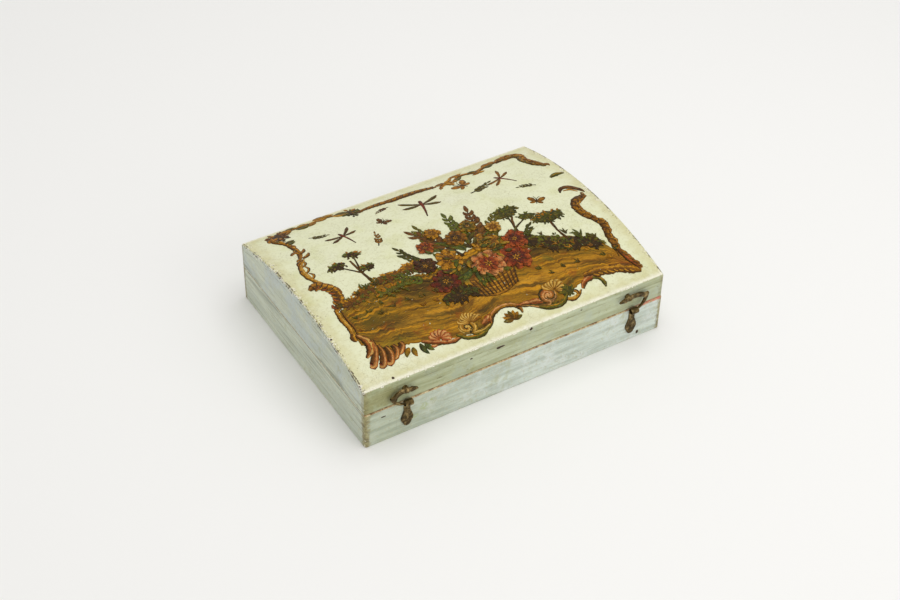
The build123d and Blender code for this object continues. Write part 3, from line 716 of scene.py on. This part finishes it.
    def tuft(self, root, count, height, ink, lean=0):
        for k in range(count):
            angle = 90 + lean + (k - (count - 1) / 2) * 80 / count + self.pick.uniform(-8, 8)
            foot = (root[0] + self.pick.uniform(-1.5, 1.5), root[1])
            self.leaf(foot, angle, height * self.pick.uniform(0.6, 1.1), 0.2 * height, ink,
                self.pick.uniform(-1, 1))

    def laid(self, material, body, surface):
        # bends the flat work over the surface, gives it the paper's thickness and hands it over
        for vertex in self.mesh.verts:
            vertex.co = surface(vertex.co)
        data = bpy.data.meshes.new(self.name)
        self.mesh.to_mesh(data)
        self.mesh.free()
        data.materials.append(material)
        piece = bpy.data.objects.new(self.name, data)
        bpy.context.scene.collection.objects.link(piece)
        thick = piece.modifiers.new("paperThickness", "SOLIDIFY")
        thick.thickness = paper["thickness"] * mm
        thick.offset = -1.0
        for polygon in data.polygons:
            polygon.use_smooth = True
        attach(piece, body)
        return piece


def overDome(place):
    off = place.y - lidMiddleY * mm
    radius = domeRadius * mm
    rise = math.sqrt(radius ** 2 - off ** 2)
    out = Vector((0, off / radius, rise / radius))
    foot = Vector((place.x, place.y, domeAxisZ * mm + rise))
    return foot + out * (paper["lift"] * mm + place.z)


def varnished(f, tint, wash, losses, relief):
    # what all the paper shares: yellowed varnish, cracks, small losses down to the cream
    tint = f.mix(f.step(wash, 0.45, 0.7) * 0.3, tint, "#a8822f", "MULTIPLY")
    crackle = f.cracks(4.4, 0.14)
    tint = f.lay(tint, crackle, 0.4, "#2f240f")
    tint = f.mix(losses, tint, paint["cream"])
    relief = relief - losses * 0.7
    f.set("Specular IOR Level", paper["shine"])
    return f.finish(tint, relief, 0.12, 0.34 + wash * 0.2)


def printedPaper():
    # hand-coloured print: each stroke dark along one side, blotted, hatched
    f = Finish("printedPaper")
    tint = f.attribute("tint", "Color")
    uv = f.axes(f.attribute("strokes", "Vector"))
    blots = f.noise(2.6, 4, 0.62)
    tint = f.mix(f.step(blots, 0.5, 0.3) * 0.7, tint, "#6a4a22", "MULTIPLY")
    light = f.mix(0.5, tint, inks["gold"], "SCREEN")
    tint = f.lay(tint, f.step(blots, 0.54, 0.72), 0.6, light)
    shaded = uv[1] + (f.noise(1.4, 3) - 0.5) * 0.9
    tint = f.lay(tint, f.step(shaded, 0.36, 0.05), 0.7, inks["umber"])
    lines = f.calc("SINE", uv[1] * 26.0 + f.noise(3, 3) * 12.0)
    tint = f.lay(tint, f.step(lines, 0.3, 0.9), 0.3, inks["umber"])
    losses = f.step(f.noise(3.3, 6, 0.72), 0.665, 0.69)
    return varnished(f, tint, f.noise(7, 4, 0.6), losses, f.noise(1.2, 3) * 0.6)


def hatchedGround():
    # the grassy bank: streaks that follow its own length and height, over broad listed tones
    f = Finish("hatchedGround")
    tint = f.attribute("tint", "Color")
    flow = f.attribute("strokes", "Vector")
    wander = f.mix(0.045, flow, f.colourNoise(44))
    broad = f.noise(1000, 4, 0.6, f.mapped(stretch=(0.16, 0.1, 1), vector=wander))
    streaks = f.noise(1000, 5, 0.6, f.mapped(stretch=(0.19, 0.046, 1), vector=wander))
    fibres = f.noise(1000, 4, 0.62, f.mapped(stretch=(0.035, 0.009, 1), vector=wander))
    tint = f.mix(f.step(broad, 0.5, 0.36) * 0.75, tint, "#6b5412", "MULTIPLY")
    tint = f.lay(tint, f.step(streaks, 0.48, 0.36), 0.8, "#55410a")
    tint = f.lay(tint, f.step(streaks, 0.52, 0.64), 0.75, "#cf9014")
    tint = f.lay(tint, f.step(f.noise(16, 4, 0.6), 0.56, 0.68), 0.45, "#96480f")
    tint = f.lay(tint, f.step(f.noise(13, 4, 0.6, f.mapped(shift=(9, 50, 0))), 0.58, 0.7), 0.5, "#56591a")
    tint = f.lay(tint, f.step(fibres, 0.5, 0.34), 0.42, "#3a2b0a")
    tint = f.lay(tint, f.step(fibres, 0.54, 0.7), 0.35, "#dfa92a")
    losses = f.step(f.noise(3.6, 6, 0.72), 0.675, 0.7)
    return varnished(f, tint, f.noise(8, 4, 0.6), losses, streaks * 0.8)


printMaterial = printedPaper()
groundMaterial = hatchedGround()

# The bank: its top and bottom edges as heights at even steps from left to right, and soft patches of tone
bank = {
    "left": -129.0, "right": 130.0, "columns": 150, "rows": 26, "base": "#9a6b08", "seed": 7,
    "edgeTufts": 26, "growth": 44, "growthStep": 0.61803,
    "top": [-30, -22, -18, -16, -20, -24, -22, -16, -12, -13, -20, -30, -38, -52, -78],
    "bottom": [-70, -84, -85, -90, -95, -97, -91, -85, -90, -95, -97, -91, -90, -93, -97],
    "ragged": 1.3,
    "tones": (
        (-112, -46, 26, 22, "#4a420c", 0.85), (-84, -34, 30, 12, "#5d4a0c", 0.7),
        (-66, -42, 18, 7, "#b5801e", 0.9), (-96, -62, 30, 7, "#33290a", 0.85),
        (-44, -38, 30, 14, "#2f260b", 0.95), (10, -40, 40, 18, "#35250b", 0.9),
        (60, -34, 30, 14, "#34330d", 0.95), (92, -50, 26, 10, "#3a2d0c", 0.9),
        (114, -62, 14, 7, "#4b4a12", 0.8), (-40, -66, 40, 4, "#c08a26", 0.8),
        (30, -70, 50, 4, "#c48e28", 0.8), (84, -72, 34, 4, "#b57c1c", 0.7),
        (-100, -78, 30, 4, "#7a6a14", 0.7), (-20, -80, 40, 4, "#6e4a10", 0.7),
        (56, -82, 30, 4, "#6b5511", 0.6), (122, -86, 12, 10, "#7a4010", 0.8),
    ),
}


def bankTone(x, y):
    tone = colour(bank["base"])
    for middleX, middleY, wide, high, code, strength in bank["tones"]:
        far = ((x - middleX) / wide) ** 2 + ((y - middleY) / high) ** 2
        share = strength * math.exp(-far)
        tone = [a + (b - a) * share for a, b in zip(tone, colour(code))]
    return tone


def grassyBank():
    work = CutPaper("lidBank", bank["seed"])
    made = bmesh.ops.create_grid(work.mesh, x_segments=bank["columns"], y_segments=bank["rows"], size=0.5,
        calc_uvs=True)
    ruffle = [work.pick.uniform(-1, 1) for k in range(bank["columns"] + 1)]
    tones = {}
    for vertex in made["verts"]:
        across, up = vertex.co.x + 0.5, vertex.co.y + 0.5
        x = bank["left"] + across * (bank["right"] - bank["left"])
        notch = ruffle[round(across * bank["columns"])] * bank["ragged"]
        top = onPath(bank["top"], across) + notch
        bottom = onPath(bank["bottom"], across) + 0.5 * notch
        y = bottom + (top - bottom) * up
        tones[vertex] = bankTone(x, y)
        vertex.co = (x * mm, y * mm, 0)
    for face in work.mesh.faces:
        for loop in face.loops:
            loop[work.tint] = tones[loop.vert]
    return work.laid(groundMaterial, "lid", overDome)


# The rocaille frame: each strand as points in millimetres on the flat lid
frameBand = {
    "backReed": [(-42, 94), (-24, 95), (-8, 94), (8, 94), (24, 93), (38, 90)],
    "backStem": [(-118, 100), (-104, 104), (-88, 103), (-72, 105), (-56, 101), (-46, 97)],
    "backRight": [(54, 88), (68, 95), (82, 92), (96, 96), (110, 98), (126, 99)],
    "rightCorner": [(106, 96), (120, 100), (131, 95), (130, 84), (133, 72), (140, 60)],
    "leftUpper": [(-126, 102), (-127, 92), (-121, 82), (-119, 70), (-119, 58), (-124, 47)],
    "leftMiddle": [(-120, 48), (-128, 39), (-130, 26), (-127, 14), (-121, 5)],
    "leftShell": [(-137, 5), (-130, 8), (-124, 4), (-119, -4), (-119, -14), (-123, -22), (-130, -29)],
    "leftLower": [(-130, -27), (-130, -40), (-129, -50), (-131, -61)],
    "rightUpper": [(141, -1), (132, -3), (125, -8), (124, -20), (129, -32), (133, -42), (129, -54),
        (128, -66), (124, -80)],
    "arch": [(-18, -95), (-14, -88), (-4, -84), (6, -85), (12, -90), (12, -96)],
}
strandTones = {
    "warm": "brown, brown ochre brown ochre, ochre gold ochre",
    "golden": "brown, ochre gold ochre, gold sand gold",
    "reddish": "brown, brown coral brown, rose blush rose",
    "green": "moss, olive leaf olive, leaf gold leaf",
    "dark": "umber, umber brown umber, brown ochre brown",
}


def leafRun(work, points, count, length, width, inkPairs, spread=24):
    # leaves that lie along a stem, to its two sides in turn
    for k in range(count):
        share = (k + 0.5) / count
        hand = 1 if k % 2 else -1
        ink = inkPairs[k % len(inkPairs)]
        place, heading = headed(points, share)
        heading = heading + hand * spread + (180 if k % 3 == 2 else 0)
        size = work.pick.uniform(0.8, 1.15)
        work.leaf(place, heading, length * size, width * size, ink, -hand * 0.8)
        work.leaf(place, heading + 4 * hand, 0.8 * length * size, 0.35 * width * size, ink.split()[-1],
            -hand * 0.8)


def shell(work, centre, radius, first, last, count, inks3):
    # a fan of rounded ribs
    dark, body, light = inks3.split()
    for k in range(count):
        heading = first + (last - first) * k / (count - 1)
        reach = radius * work.pick.uniform(0.85, 1.1)
        wide = 2.6 * radius * math.radians(abs(last - first)) / count
        points = fan(centre, heading, reach, (0, 0.1), (4, 0.5), (2, 0.85), (-4, 1.0))
        work.stroke(points, scaled(wide, 0.25, 0.55, 0.8, 0.5), " ".join((dark, body, body)), rows=7)
        work.stroke(points, scaled(wide, 0.2, 0.5, 0.75, 0.3), " ".join((body, light, light)), rows=7,
            band=(0.05, 0.4))


def borderBack(work):
    # a leafy stem, a knot, a bound reed, leaves again and the right corner
    work.level(10)
    work.strand(frameBand["backStem"], 3.0, 30, "warm")
    leafRun(work, frameBand["backStem"], 13, 13, 5.4,
        ("olive ochre", "umber olive", "ochre gold", "leaf gold"))
    work.clump((-46, 97), (6, 6.5), 26, 4.4, "umber moss olive ochre")
    work.level(40)
    work.strand(frameBand["backReed"], 6.0, 46, "warm")
    for k in range(13):
        place = onPath(frameBand["backReed"], 0.04 + 0.075 * k)
        work.stroke([turned(place, 66, 3.1), turned(place, 66, -3.1)], [0.9, 1.3], "umber brown", rows=4)
    work.fringe(frameBand["backReed"], 7, 1, 4.5, 2.4, "brown ochre")
    for heading, length, ink in ((205, 13, "ochre"), (160, 10, "brown"), (-24, 13, "ochre"),
            (24, 14, "gold"), (-66, 9, "gold")):
        rib = fan((48, 90), heading, length, (0, 0), (6, 0.5), (16, 1.0))
        work.acanthus(rib, 4.2, ink, "gold", lobes=3)
    work.level(70)
    work.strand(frameBand["backRight"], 3.6, 34, "warm")
    leafRun(work, frameBand["backRight"], 12, 12, 5.0, ("umber olive", "ochre gold", "brown ochre"),
        spread=34)
    work.strand(frameBand["rightCorner"], 8.0, 34, "warm")
    work.fringe(frameBand["rightCorner"], 8, 1, 8, 3.6, "brown ochre")
    work.fringe(frameBand["rightCorner"], 8, -1, 7, 3.6, "olive ochre")
    work.level(10)
    work.strand([(130, 39), (137, 41), (145, 39)], 5.5, 10, "green")


def borderLeft(work):
    work.clump((-120, 98), (9, 7), 34, 5, "umber brown ochre brown", tilt=40)
    work.level(50)
    work.strand(frameBand["leftUpper"], 4.4, 34, "warm")
    leafRun(work, frameBand["leftUpper"], 7, 7, 3.2, ("brown ochre", "umber olive", "ochre gold"), spread=48)
    work.leaf((-121, 82), 10, 10, 5, "umber olive")
    work.leaf((-120, 78), 20, 9, 4, "moss leaf")
    for x, y, heading, length in ((-119, 62, 175, 8), (-119, 58, 15, 9), (-120, 50, 8, 10),
            (-123, 46, 195, 8)):
        work.finger((x, y), heading, length, 3.6, 25, "brown ochre")
    work.level(50)
    work.strand(frameBand["leftMiddle"], 4.6, 34, "golden")
    for x, y, heading, length in ((-127, 38, 12, 10), (-128, 28, 24, 11), (-127, 18, 34, 9),
            (-129, 32, 190, 5)):
        work.finger((x, y), heading, length, 2.6, 50, "brown gold")
    work.level(60)
    work.strand(frameBand["leftShell"], 8.5, 40, "warm")
    for k in range(10):
        place, heading = headed(frameBand["leftShell"], 0.1 + 0.09 * k)
        work.finger(place, heading - 70, 6.0, 3.6, -40, "brown coral" if k % 2 else "brown gold")
        work.tie(place, heading, (4.4, -3), [0.7, 1.2])
    work.level(60)
    work.strand(frameBand["leftLower"], 4.6, 30, "golden")
    work.strand([(x + 4, y - 2) for x, y in frameBand["leftLower"]], 2.6, 30, "dark")
    work.finger((-129, -57), 232, 8, 6, 30, "brown gold")


def borderRight(work):
    # a dark hook at its head, then a ribbed strand with lobes on its outer side
    work.level(30)
    work.stroke([(123, 13), (127, 18), (134, 17), (141, 9), (143, 3)], [1.5, 4.5, 5.0, 4.0, 1.0],
        "umber brown umber", rows=20, ragged=0.1)
    work.stroke([(127, 14), (133, 13), (138, 7)], [1.2, 2.2, 1.0], "ochre gold", rows=12, ragged=0.2)
    work.strand([(140, 4), (138, -1), (130, -3)], 5.0, 14, "warm")
    work.strand(frameBand["rightUpper"], 7.0, 48, "warm")
    for k in range(13):
        place, heading = headed(frameBand["rightUpper"], 0.06 + 0.068 * k)
        work.finger(place, heading + 62, 7.0 if k % 2 else 5.0, 3.8, -45,
            "brown gold" if k % 3 else "brown ochre")
        if k % 2:
            work.finger(place, heading - 66, 5.5, 3.2, 45, "brown ochre")
        work.tie(place, heading, (3.6, -3.4), [0.6, 1.1])


def borderFront(work):
    # bottom left: rounded lobes under the bank, and a pale band that curls outwards
    lobes = (((-99, -80), (-103, -88)), ((-106, -80), (-109, -91)), ((-112, -79), (-115, -94)),
        ((-117, -75), (-122, -94)), ((-119, -68), (-129, -91)))
    for k, (foot, tip) in enumerate(lobes):
        work.level(40 + 8 * k)
        points = [foot, ((foot[0] + tip[0]) / 2 + 2.5, (foot[1] + tip[1]) / 2), tip, (tip[0] - 3, tip[1] + 1)]
        for ink, band, wide in (("umber brown brick", (-0.5, 0.5), 7.0),
                ("brown rose blush", (-0.1, 0.42), 6.6), ("ochre blush sand", (0.1, 0.3), 6.0)):
            work.stroke(points, scaled(wide, 0.6, 0.9, 1, 0.6), ink, rows=12, band=band, ragged=0.12)
    work.strand([(-128, -59), (-123, -68), (-124, -77), (-131, -83)], 6.5, 18,
        "umber, brown rose brown, blush sand blush")
    # leaves, a shell, C-scrolls and an open arch with a star leaf
    work.level(40)
    for x, y, heading, length, ink in ((-94, -88, 215, 10, "ochre olive"), (-91, -89, 250, 9, "olive ochre"),
            (-84, -88, 268, 12, "moss teal"), (-80, -89, 280, 10, "teal leaf"),
            (-76, -89, 312, 12, "moss olive")):
        work.leaf((x, y), heading, length, 5.4, ink, 0.5)
    shell(work, (-66, -91), 9, 190, -30, 9, "brick coral blush")
    work.strand([(-82, -87), (-70, -93), (-58, -97), (-48, -96)], 4.6, 20, "reddish")
    for points in ([(-46, -92), (-34, -92), (-24, -91), (-16, -88)],
            [(34, -93), (44, -96), (52, -96), (60, -92)]):
        work.stroke(points, [5, 8, 8, 4], "olive ochre", rows=14)
    work.scroll((-40, -90), 7.5, 290, -1.15, 5.4, "moss", "ochre gold olive", "sand",
        tail=[(-28, -98), (-19, -95), (-12, -88)])
    shell(work, (-34, -88), 11, 150, 20, 9, "brown ochre sand")
    work.strand([(-52, -93), (-44, -99), (-32, -101), (-22, -97)], 4.2, 20, "green")
    work.strand([(-26, -93), (-18, -90), (-10, -86)], 7.0, 14, "reddish")
    work.strand(frameBand["arch"], 4.4, 26, "umber, brown ochre brown, rose blush ochre")
    for k in range(7):
        work.leaf((1, -99), 8 + 27.5 * k, 9.5, 4.6, ("brown olive", "umber ochre", "brown gold")[k % 3])
    work.strand([(10, -88), (20, -90), (30, -92), (38, -97)], 6.0, 22, "reddish")
    work.scroll((42, -90), 7.5, 250, 1.15, 5.2, "moss", "ochre rose olive", "blush",
        tail=[(31, -97), (23, -93), (15, -90)])
    shell(work, (50, -88), 11, 130, -40, 9, "brown ochre sand")
    work.strand([(28, -97), (38, -101), (50, -101), (58, -95)], 4.4, 20, "green")
    work.clump((61, -92), (6, 4), 16, 4.2, "moss olive olive")
    work.level(50)
    work.strand([(52, -97), (59, -101), (66, -100), (72, -96)], 3.8, 16, "golden")
    work.finger((67, -99), 70, 6, 3.4, 60, "brown gold")
    work.strand([(74, -96), (78, -91), (85, -88.5), (91, -90)], 5.2, 16, "reddish")
    work.strand([(88, -89.5), (93, -92), (95, -97), (94, -102)], 3.8, 14, "green")
    work.strand([(82, -84), (98, -85), (112, -89), (124, -94), (133, -100)], 8.0, 30, "warm")
    work.fringe([(90, -87), (102, -88), (114, -91), (126, -96)], 8, -1, 7, 4.2, "brown gold")
    work.strand([(127, -72), (130, -84), (134, -98)], 8.5, 18, "umber, brown coral brown, ochre rose")
    work.fringe([(127, -74), (130, -84), (134, -96)], 5, 1, 6, 3.6, "brown ochre")


def scrollBorder():
    work = CutPaper("lidScrolls", paper["frameSeed"])
    borderBack(work)
    borderLeft(work)
    borderRight(work)
    borderFront(work)
    return work.laid(printMaterial, "lid", overDome)


# The posy: blooms by place, size and inks, round a low basket
posy = {
    "foot": (6, -66), "halfWidth": 21.0, "weaves": 9, "weaveStep": 2.6, "flare": 1.0, "ribs": 13,
    "underLeaves": 90, "overLeaves": 26, "seed": 21,
    "underInks": ("moss leaf", "umber olive", "leaf olive", "umber moss", "teal leaf"),
    "overInks": ("moss leaf", "umber olive", "leaf gold"),
    "blooms": (
        (-30, -40, 13, "wine brick", "umber brown", "umber"),
        (40, -42, 15, "brick coral", "wine brick", "wine"),
        (-14, -18, 12, "ochre gold", "brown ochre", "umber"),
        (26, -14, 12, "brown gold", "olive ochre", "umber"),
        (6, 4, 10, "brown ochre", "umber brown", "umber"),
        (-36, -16, 10, "umber wine", "umber brown", "umber"),
        (51, -22, 11, "brick coral", "wine brick", "wine"),
        (14, -38, 16, "coral blush", "brick coral", "wine"),
        (-8, 20, 7.5, "ochre gold", "brown ochre", "umber"),
        (24, 13, 8.5, "olive ochre", "umber olive", "umber"),
        (-24, 5, 8, "brick rose", "wine brick", "wine"),
        (43, 1, 7.5, "ochre sand", "brown ochre", "brown"),
    ),
}


def flowerGroup():
    work = CutPaper("lidFlowers", posy["seed"])
    work.level(60)
    footX, footY = posy["foot"]
    # sprays behind the blooms
    for x, y, heading, length, ink in ((-30, -22, 122, 40, "moss"), (-12, -12, 102, 46, "olive"),
            (12, -14, 84, 50, "leaf"), (30, -20, 64, 44, "olive"), (46, -34, 34, 34, "moss"),
            (-42, -34, 146, 30, "leaf"), (0, -20, 110, 54, "brown"), (22, -20, 74, 56, "brown")):
        work.sprig((x, y), heading, length, "umber", ink, pairs=6, bend=work.pick.uniform(-1, 1),
            leafSize=0.26, plump=0.5)
    # the basket
    for k in range(posy["weaves"]):
        y = footY + posy["weaveStep"] * k
        half = posy["halfWidth"] + posy["flare"] * k
        row = [(footX - half, y + 1.5), (footX - half / 2, y - 3), (footX, y - 5), (footX + half / 2, y - 3),
            (footX + half, y + 1.5)]
        work.stroke(row, [2.6, 3.2, 3.4, 3.2, 2.6], "brown gold ochre" if k % 2 else "umber ochre brown",
            rows=26, ragged=0.2)
    for k in range(posy["ribs"]):
        share = 2 * k / (posy["ribs"] - 1) - 1
        rib = [(footX + share * wide, footY + high + bow * share ** 2)
            for wide, high, bow in ((20, -4, 3), (24, 9, 2.5), (29, 22, 2))]
        work.stroke(rib, [1.4, 1.6, 1.2], "umber brown", rows=10, ragged=0.3)
    # leaves under and between the blooms
    for k in range(posy["underLeaves"]):
        angle = work.pick.uniform(0, 360)
        foot = (footX + 34 * work.pick.uniform(0.3, 1.0) * math.cos(math.radians(angle)),
            -24 + 24 * work.pick.uniform(0.3, 1.0) * math.sin(math.radians(angle)))
        work.leaf(foot, angle + work.pick.uniform(-40, 40), work.pick.uniform(9, 15),
            work.pick.uniform(4, 6.5), work.pick.choice(posy["underInks"]), work.pick.uniform(-1, 1))
    for x, y, size, outer, inner, heart in posy["blooms"]:
        work.bloom((x, y), size, outer, inner, heart)
    for k in range(posy["overLeaves"]):
        angle = work.pick.uniform(0, 360)
        foot = turned((footX, -20), angle, work.pick.uniform(8, 34))
        work.leaf(foot, angle + work.pick.uniform(-30, 30), work.pick.uniform(6, 10),
            work.pick.uniform(3, 4.4), work.pick.choice(posy["overInks"]), work.pick.uniform(-1, 1))
    return work.laid(printMaterial, "lid", overDome)


def scatteredSprigs():
    work = CutPaper("lidSprigs", paper["sprigSeed"])
    # in the sky: insects and broken twigs
    for x, y, heading, size, ink, light in ((-74, 62, 108, 17, "umber", "brown"),
            (10, 68, 78, 22, "brown", "olive"), (92, 66, 130, 17, "brown", "ochre")):
        work.level(10)
        work.dragonfly((x, y), heading, size, ink, light)
    for x, y, heading, size, ink, light in ((58, 76, 120, 11, "brown", "ochre"),
            (98, 14, 60, 9, "umber", "ochre"), (-34, 62, 40, 8, "umber", "brown")):
        work.level(10)
        work.butterfly((x, y), heading, size, ink, light)
    for x, y, heading, length, ink in ((-100, 78, -30, 16, "olive"), (56, 58, 8, 24, "olive"),
            (-16, 84, 186, 14, "brown"), (112, 36, 150, 16, "olive"), (-56, 30, 60, 20, "ochre")):
        work.level(10)
        work.sprig((x, y), heading, length, "umber", ink + " umber", pairs=4, bend=0.8, plump=0.55)
    # trees and shrubs that stand on the bank
    work.level(10)
    work.tree((-84, -16), 6, 40, (((-14, -2), (9, 4.5), 34, 10), ((6, 7), (7, 4), 26, -20),
        ((9, -16), (6, 4), 20, 0)), "umber olive leaf ochre")
    work.level(10)
    work.tree((62, -30), -8, 40, (((-4, 4), (13, 7), 70, 16), ((10, -10), (8, 4), 26, -10)),
        "moss olive leaf")
    work.level(10)
    work.tree((94, -46), 4, 34, (((2, 2), (15, 7), 74, -6),), "moss olive ochre")
    work.level(10)
    for x, y, size, count, tilt in ((-112, -25, (13, 5), 34, 0), (-96, -18, (10, 5), 30, 10),
            (-72, -13, (14, 6), 44, 4), (-48, -11, (12, 6), 40, 0), (62, -30, (13, 7), 46, -20),
            (78, -42, (14, 8), 60, -26), (96, -50, (14, 7), 54, -6), (110, -55, (10, 7), 34, -30)):
        work.clump((x, y), size, count, 3.8, "brown olive ochre gold" if x < 0 else "umber moss olive leaf",
            tilt)
    for k in range(bank["edgeTufts"]):
        share = (k + 0.5) / bank["edgeTufts"]
        x = bank["left"] + share * (bank["right"] - bank["left"])
        if -40 < x < 52:
            continue
        work.tuft((x, onPath(bank["top"], share) + 1), 4, 8 + 4 * math.sin(5 * k),
            ("umber olive", "moss leaf")[k % 2])
    # low growth on the bank itself
    for k in range(bank["growth"]):
        share = (k * bank["growthStep"]) % 1.0
        x = bank["left"] + 8 + share * (bank["right"] - bank["left"] - 16)
        low, high = onPath(bank["bottom"], share), onPath(bank["top"], share)
        y = low + (high - low) * (0.3 + 0.6 * ((k * 0.37) % 1.0))
        if -30 < x < 44 and y > -74:
            continue
        work.tuft((x, y), 4, 5.5, ("brown ochre", "gold ochre", "moss olive", "umber olive")[k % 4], lean=24)
    work.clump((-74, -27), (15, 3.2), 46, 4.6, "olive leaf ochre", tilt=6)
    work.clump((-28, -58), (16, 6), 54, 5, "umber moss umber")
    return work.laid(printMaterial, "lid", overDome)


grassyBank()
scrollBorder()
flowerGroup()
scatteredSprigs()
print("cut paper laid on the lid")


# A sprig and a butterfly on each counter box's lid
def counterLidPaper(node, body, seed):
    low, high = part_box(node)
    middle = (low + high) / 2 / mm
    work = CutPaper(node + "_paper", seed)
    main = work.pick.choice(("coral rose", "brick coral", "ochre gold"))
    for x, y, heading, length, ink, bend in ((-24, -20, 40, 46, "leaf", -0.8),
            (22, -22, 120, 40, "moss", 0.8), (0, -4, 84, 36, "olive", 0.4)):
        work.sprig((middle.x + x, middle.y + y), heading, length, "umber", ink, pairs=6, bend=bend,
            leafSize=0.26)
    work.bloom((middle.x, middle.y - 6), 13, main, "wine brick", "wine")
    work.bloom((middle.x - 14, middle.y + 8), 8, "ochre gold", "brown ochre", "umber")
    work.bloom((middle.x + 15, middle.y + 10), 8.5, "rose blush", "brick rose", "wine")
    work.butterfly((middle.x + 22, middle.y + 32), 30, 8, "brown", "ochre")
    top = high.z

    def onLid(place):
        return Vector((place.x, place.y, top + paper["lift"] * mm + place.z))

    return work.laid(printMaterial, body, onLid)


for index, place in enumerate(("left_front", "left_back", "right_front", "right_back")):
    seed = paper["counterSeed"] + paper["counterSeedStep"] * index
    counterLidPaper("counter_box_" + place + "_lid", "tray_lid_" + place, seed)
print("cut paper laid on the counter boxes")


# Floor, light and camera
studio = {
    "floor": "#f2f1ee", "floorShade": "#d8d6d0", "floorHalf": 6.0, "worldFill": 0.62,
    "keyPower": 14.5, "keySize": 1.6, "keyPlace": (0.2, -0.05, 1.8),
    "frontPower": 8.5, "frontSize": 1.4, "frontPlace": (0.55, -1.85, 0.9),
}
view = {
    "azimuth": -32.128, "elevation": 40.545, "roll": 1.256, "distance": 1482.5,
    "target": (-10.5, -16.0, 30.0), "focalPixels": 1681.0, "imageWidth": 900.0, "sensor": 36.0,
    "near": 0.05, "far": 60,
}


def paleFloor():
    bm = bmesh.new()
    bmesh.ops.create_grid(bm, x_segments=1, y_segments=1, size=studio["floorHalf"])
    data = bpy.data.meshes.new("studioFloor")
    bm.to_mesh(data)
    bm.free()
    f = Finish("studioFloor", roughness=0.9)
    mottled = f.noise(900, 2)
    data.materials.append(f.finish(f.lay(studio["floor"], mottled, 0.05, studio["floorShade"])))
    floor = bpy.data.objects.new("studioFloor", data)
    bpy.context.scene.collection.objects.link(floor)


def softLamp(name):
    place = studio[name + "Place"]
    lamp = bpy.data.lights.new(name, "AREA")
    lamp.energy = studio[name + "Power"]
    lamp.size = studio[name + "Size"]
    holder = bpy.data.objects.new(name, lamp)
    bpy.context.scene.collection.objects.link(holder)
    holder.location = place
    holder.rotation_euler = (-Vector(place)).to_track_quat("-Z", "Y").to_euler()


def whiteWorld():
    world = bpy.data.worlds.new("studioWorld")
    bpy.context.scene.world = world
    world.use_nodes = True
    f = Nodes(world.node_tree)
    kinds = ("Camera", "Glossy", "Transmission")
    camera, glossy, through = (f.add("LightPath", "Is %s Ray" % kind, {}) for kind in kinds)
    seen = f.most(f.most(camera, glossy), through)
    backdrop = f.tree.nodes["Background"]
    f.put(backdrop.inputs["Color"], (1, 1, 1, 1))
    fill = f.add("MapRange", 0, {"Value": seen, "To Min": studio["worldFill"], "To Max": 1.0})
    f.put(backdrop.inputs["Strength"], fill)


def photoCamera():
    lens = bpy.data.cameras.new("camera")
    lens.sensor_width = view["sensor"]
    lens.lens = view["focalPixels"] / view["imageWidth"] * view["sensor"]
    lens.clip_start = view["near"]
    lens.clip_end = view["far"]
    camera = bpy.data.objects.new("camera", lens)
    bpy.context.scene.collection.objects.link(camera)
    turn, tilt = math.radians(view["azimuth"]), math.radians(view["elevation"])
    back = Vector((math.sin(turn) * math.cos(tilt), -math.cos(turn) * math.cos(tilt), math.sin(tilt)))
    camera.location = (Vector(view["target"]) + back * view["distance"]) * mm
    level = (-back).to_track_quat("-Z", "Y")
    camera.rotation_mode = "QUATERNION"
    camera.rotation_quaternion = Quaternion(back, math.radians(view["roll"])) @ level
    bpy.context.scene.camera = camera


paleFloor()
softLamp("key")
softLamp("front")
whiteWorld()
photoCamera()
bpy.context.scene.view_settings.view_transform = "Standard"

bpy.context.view_layer.update()
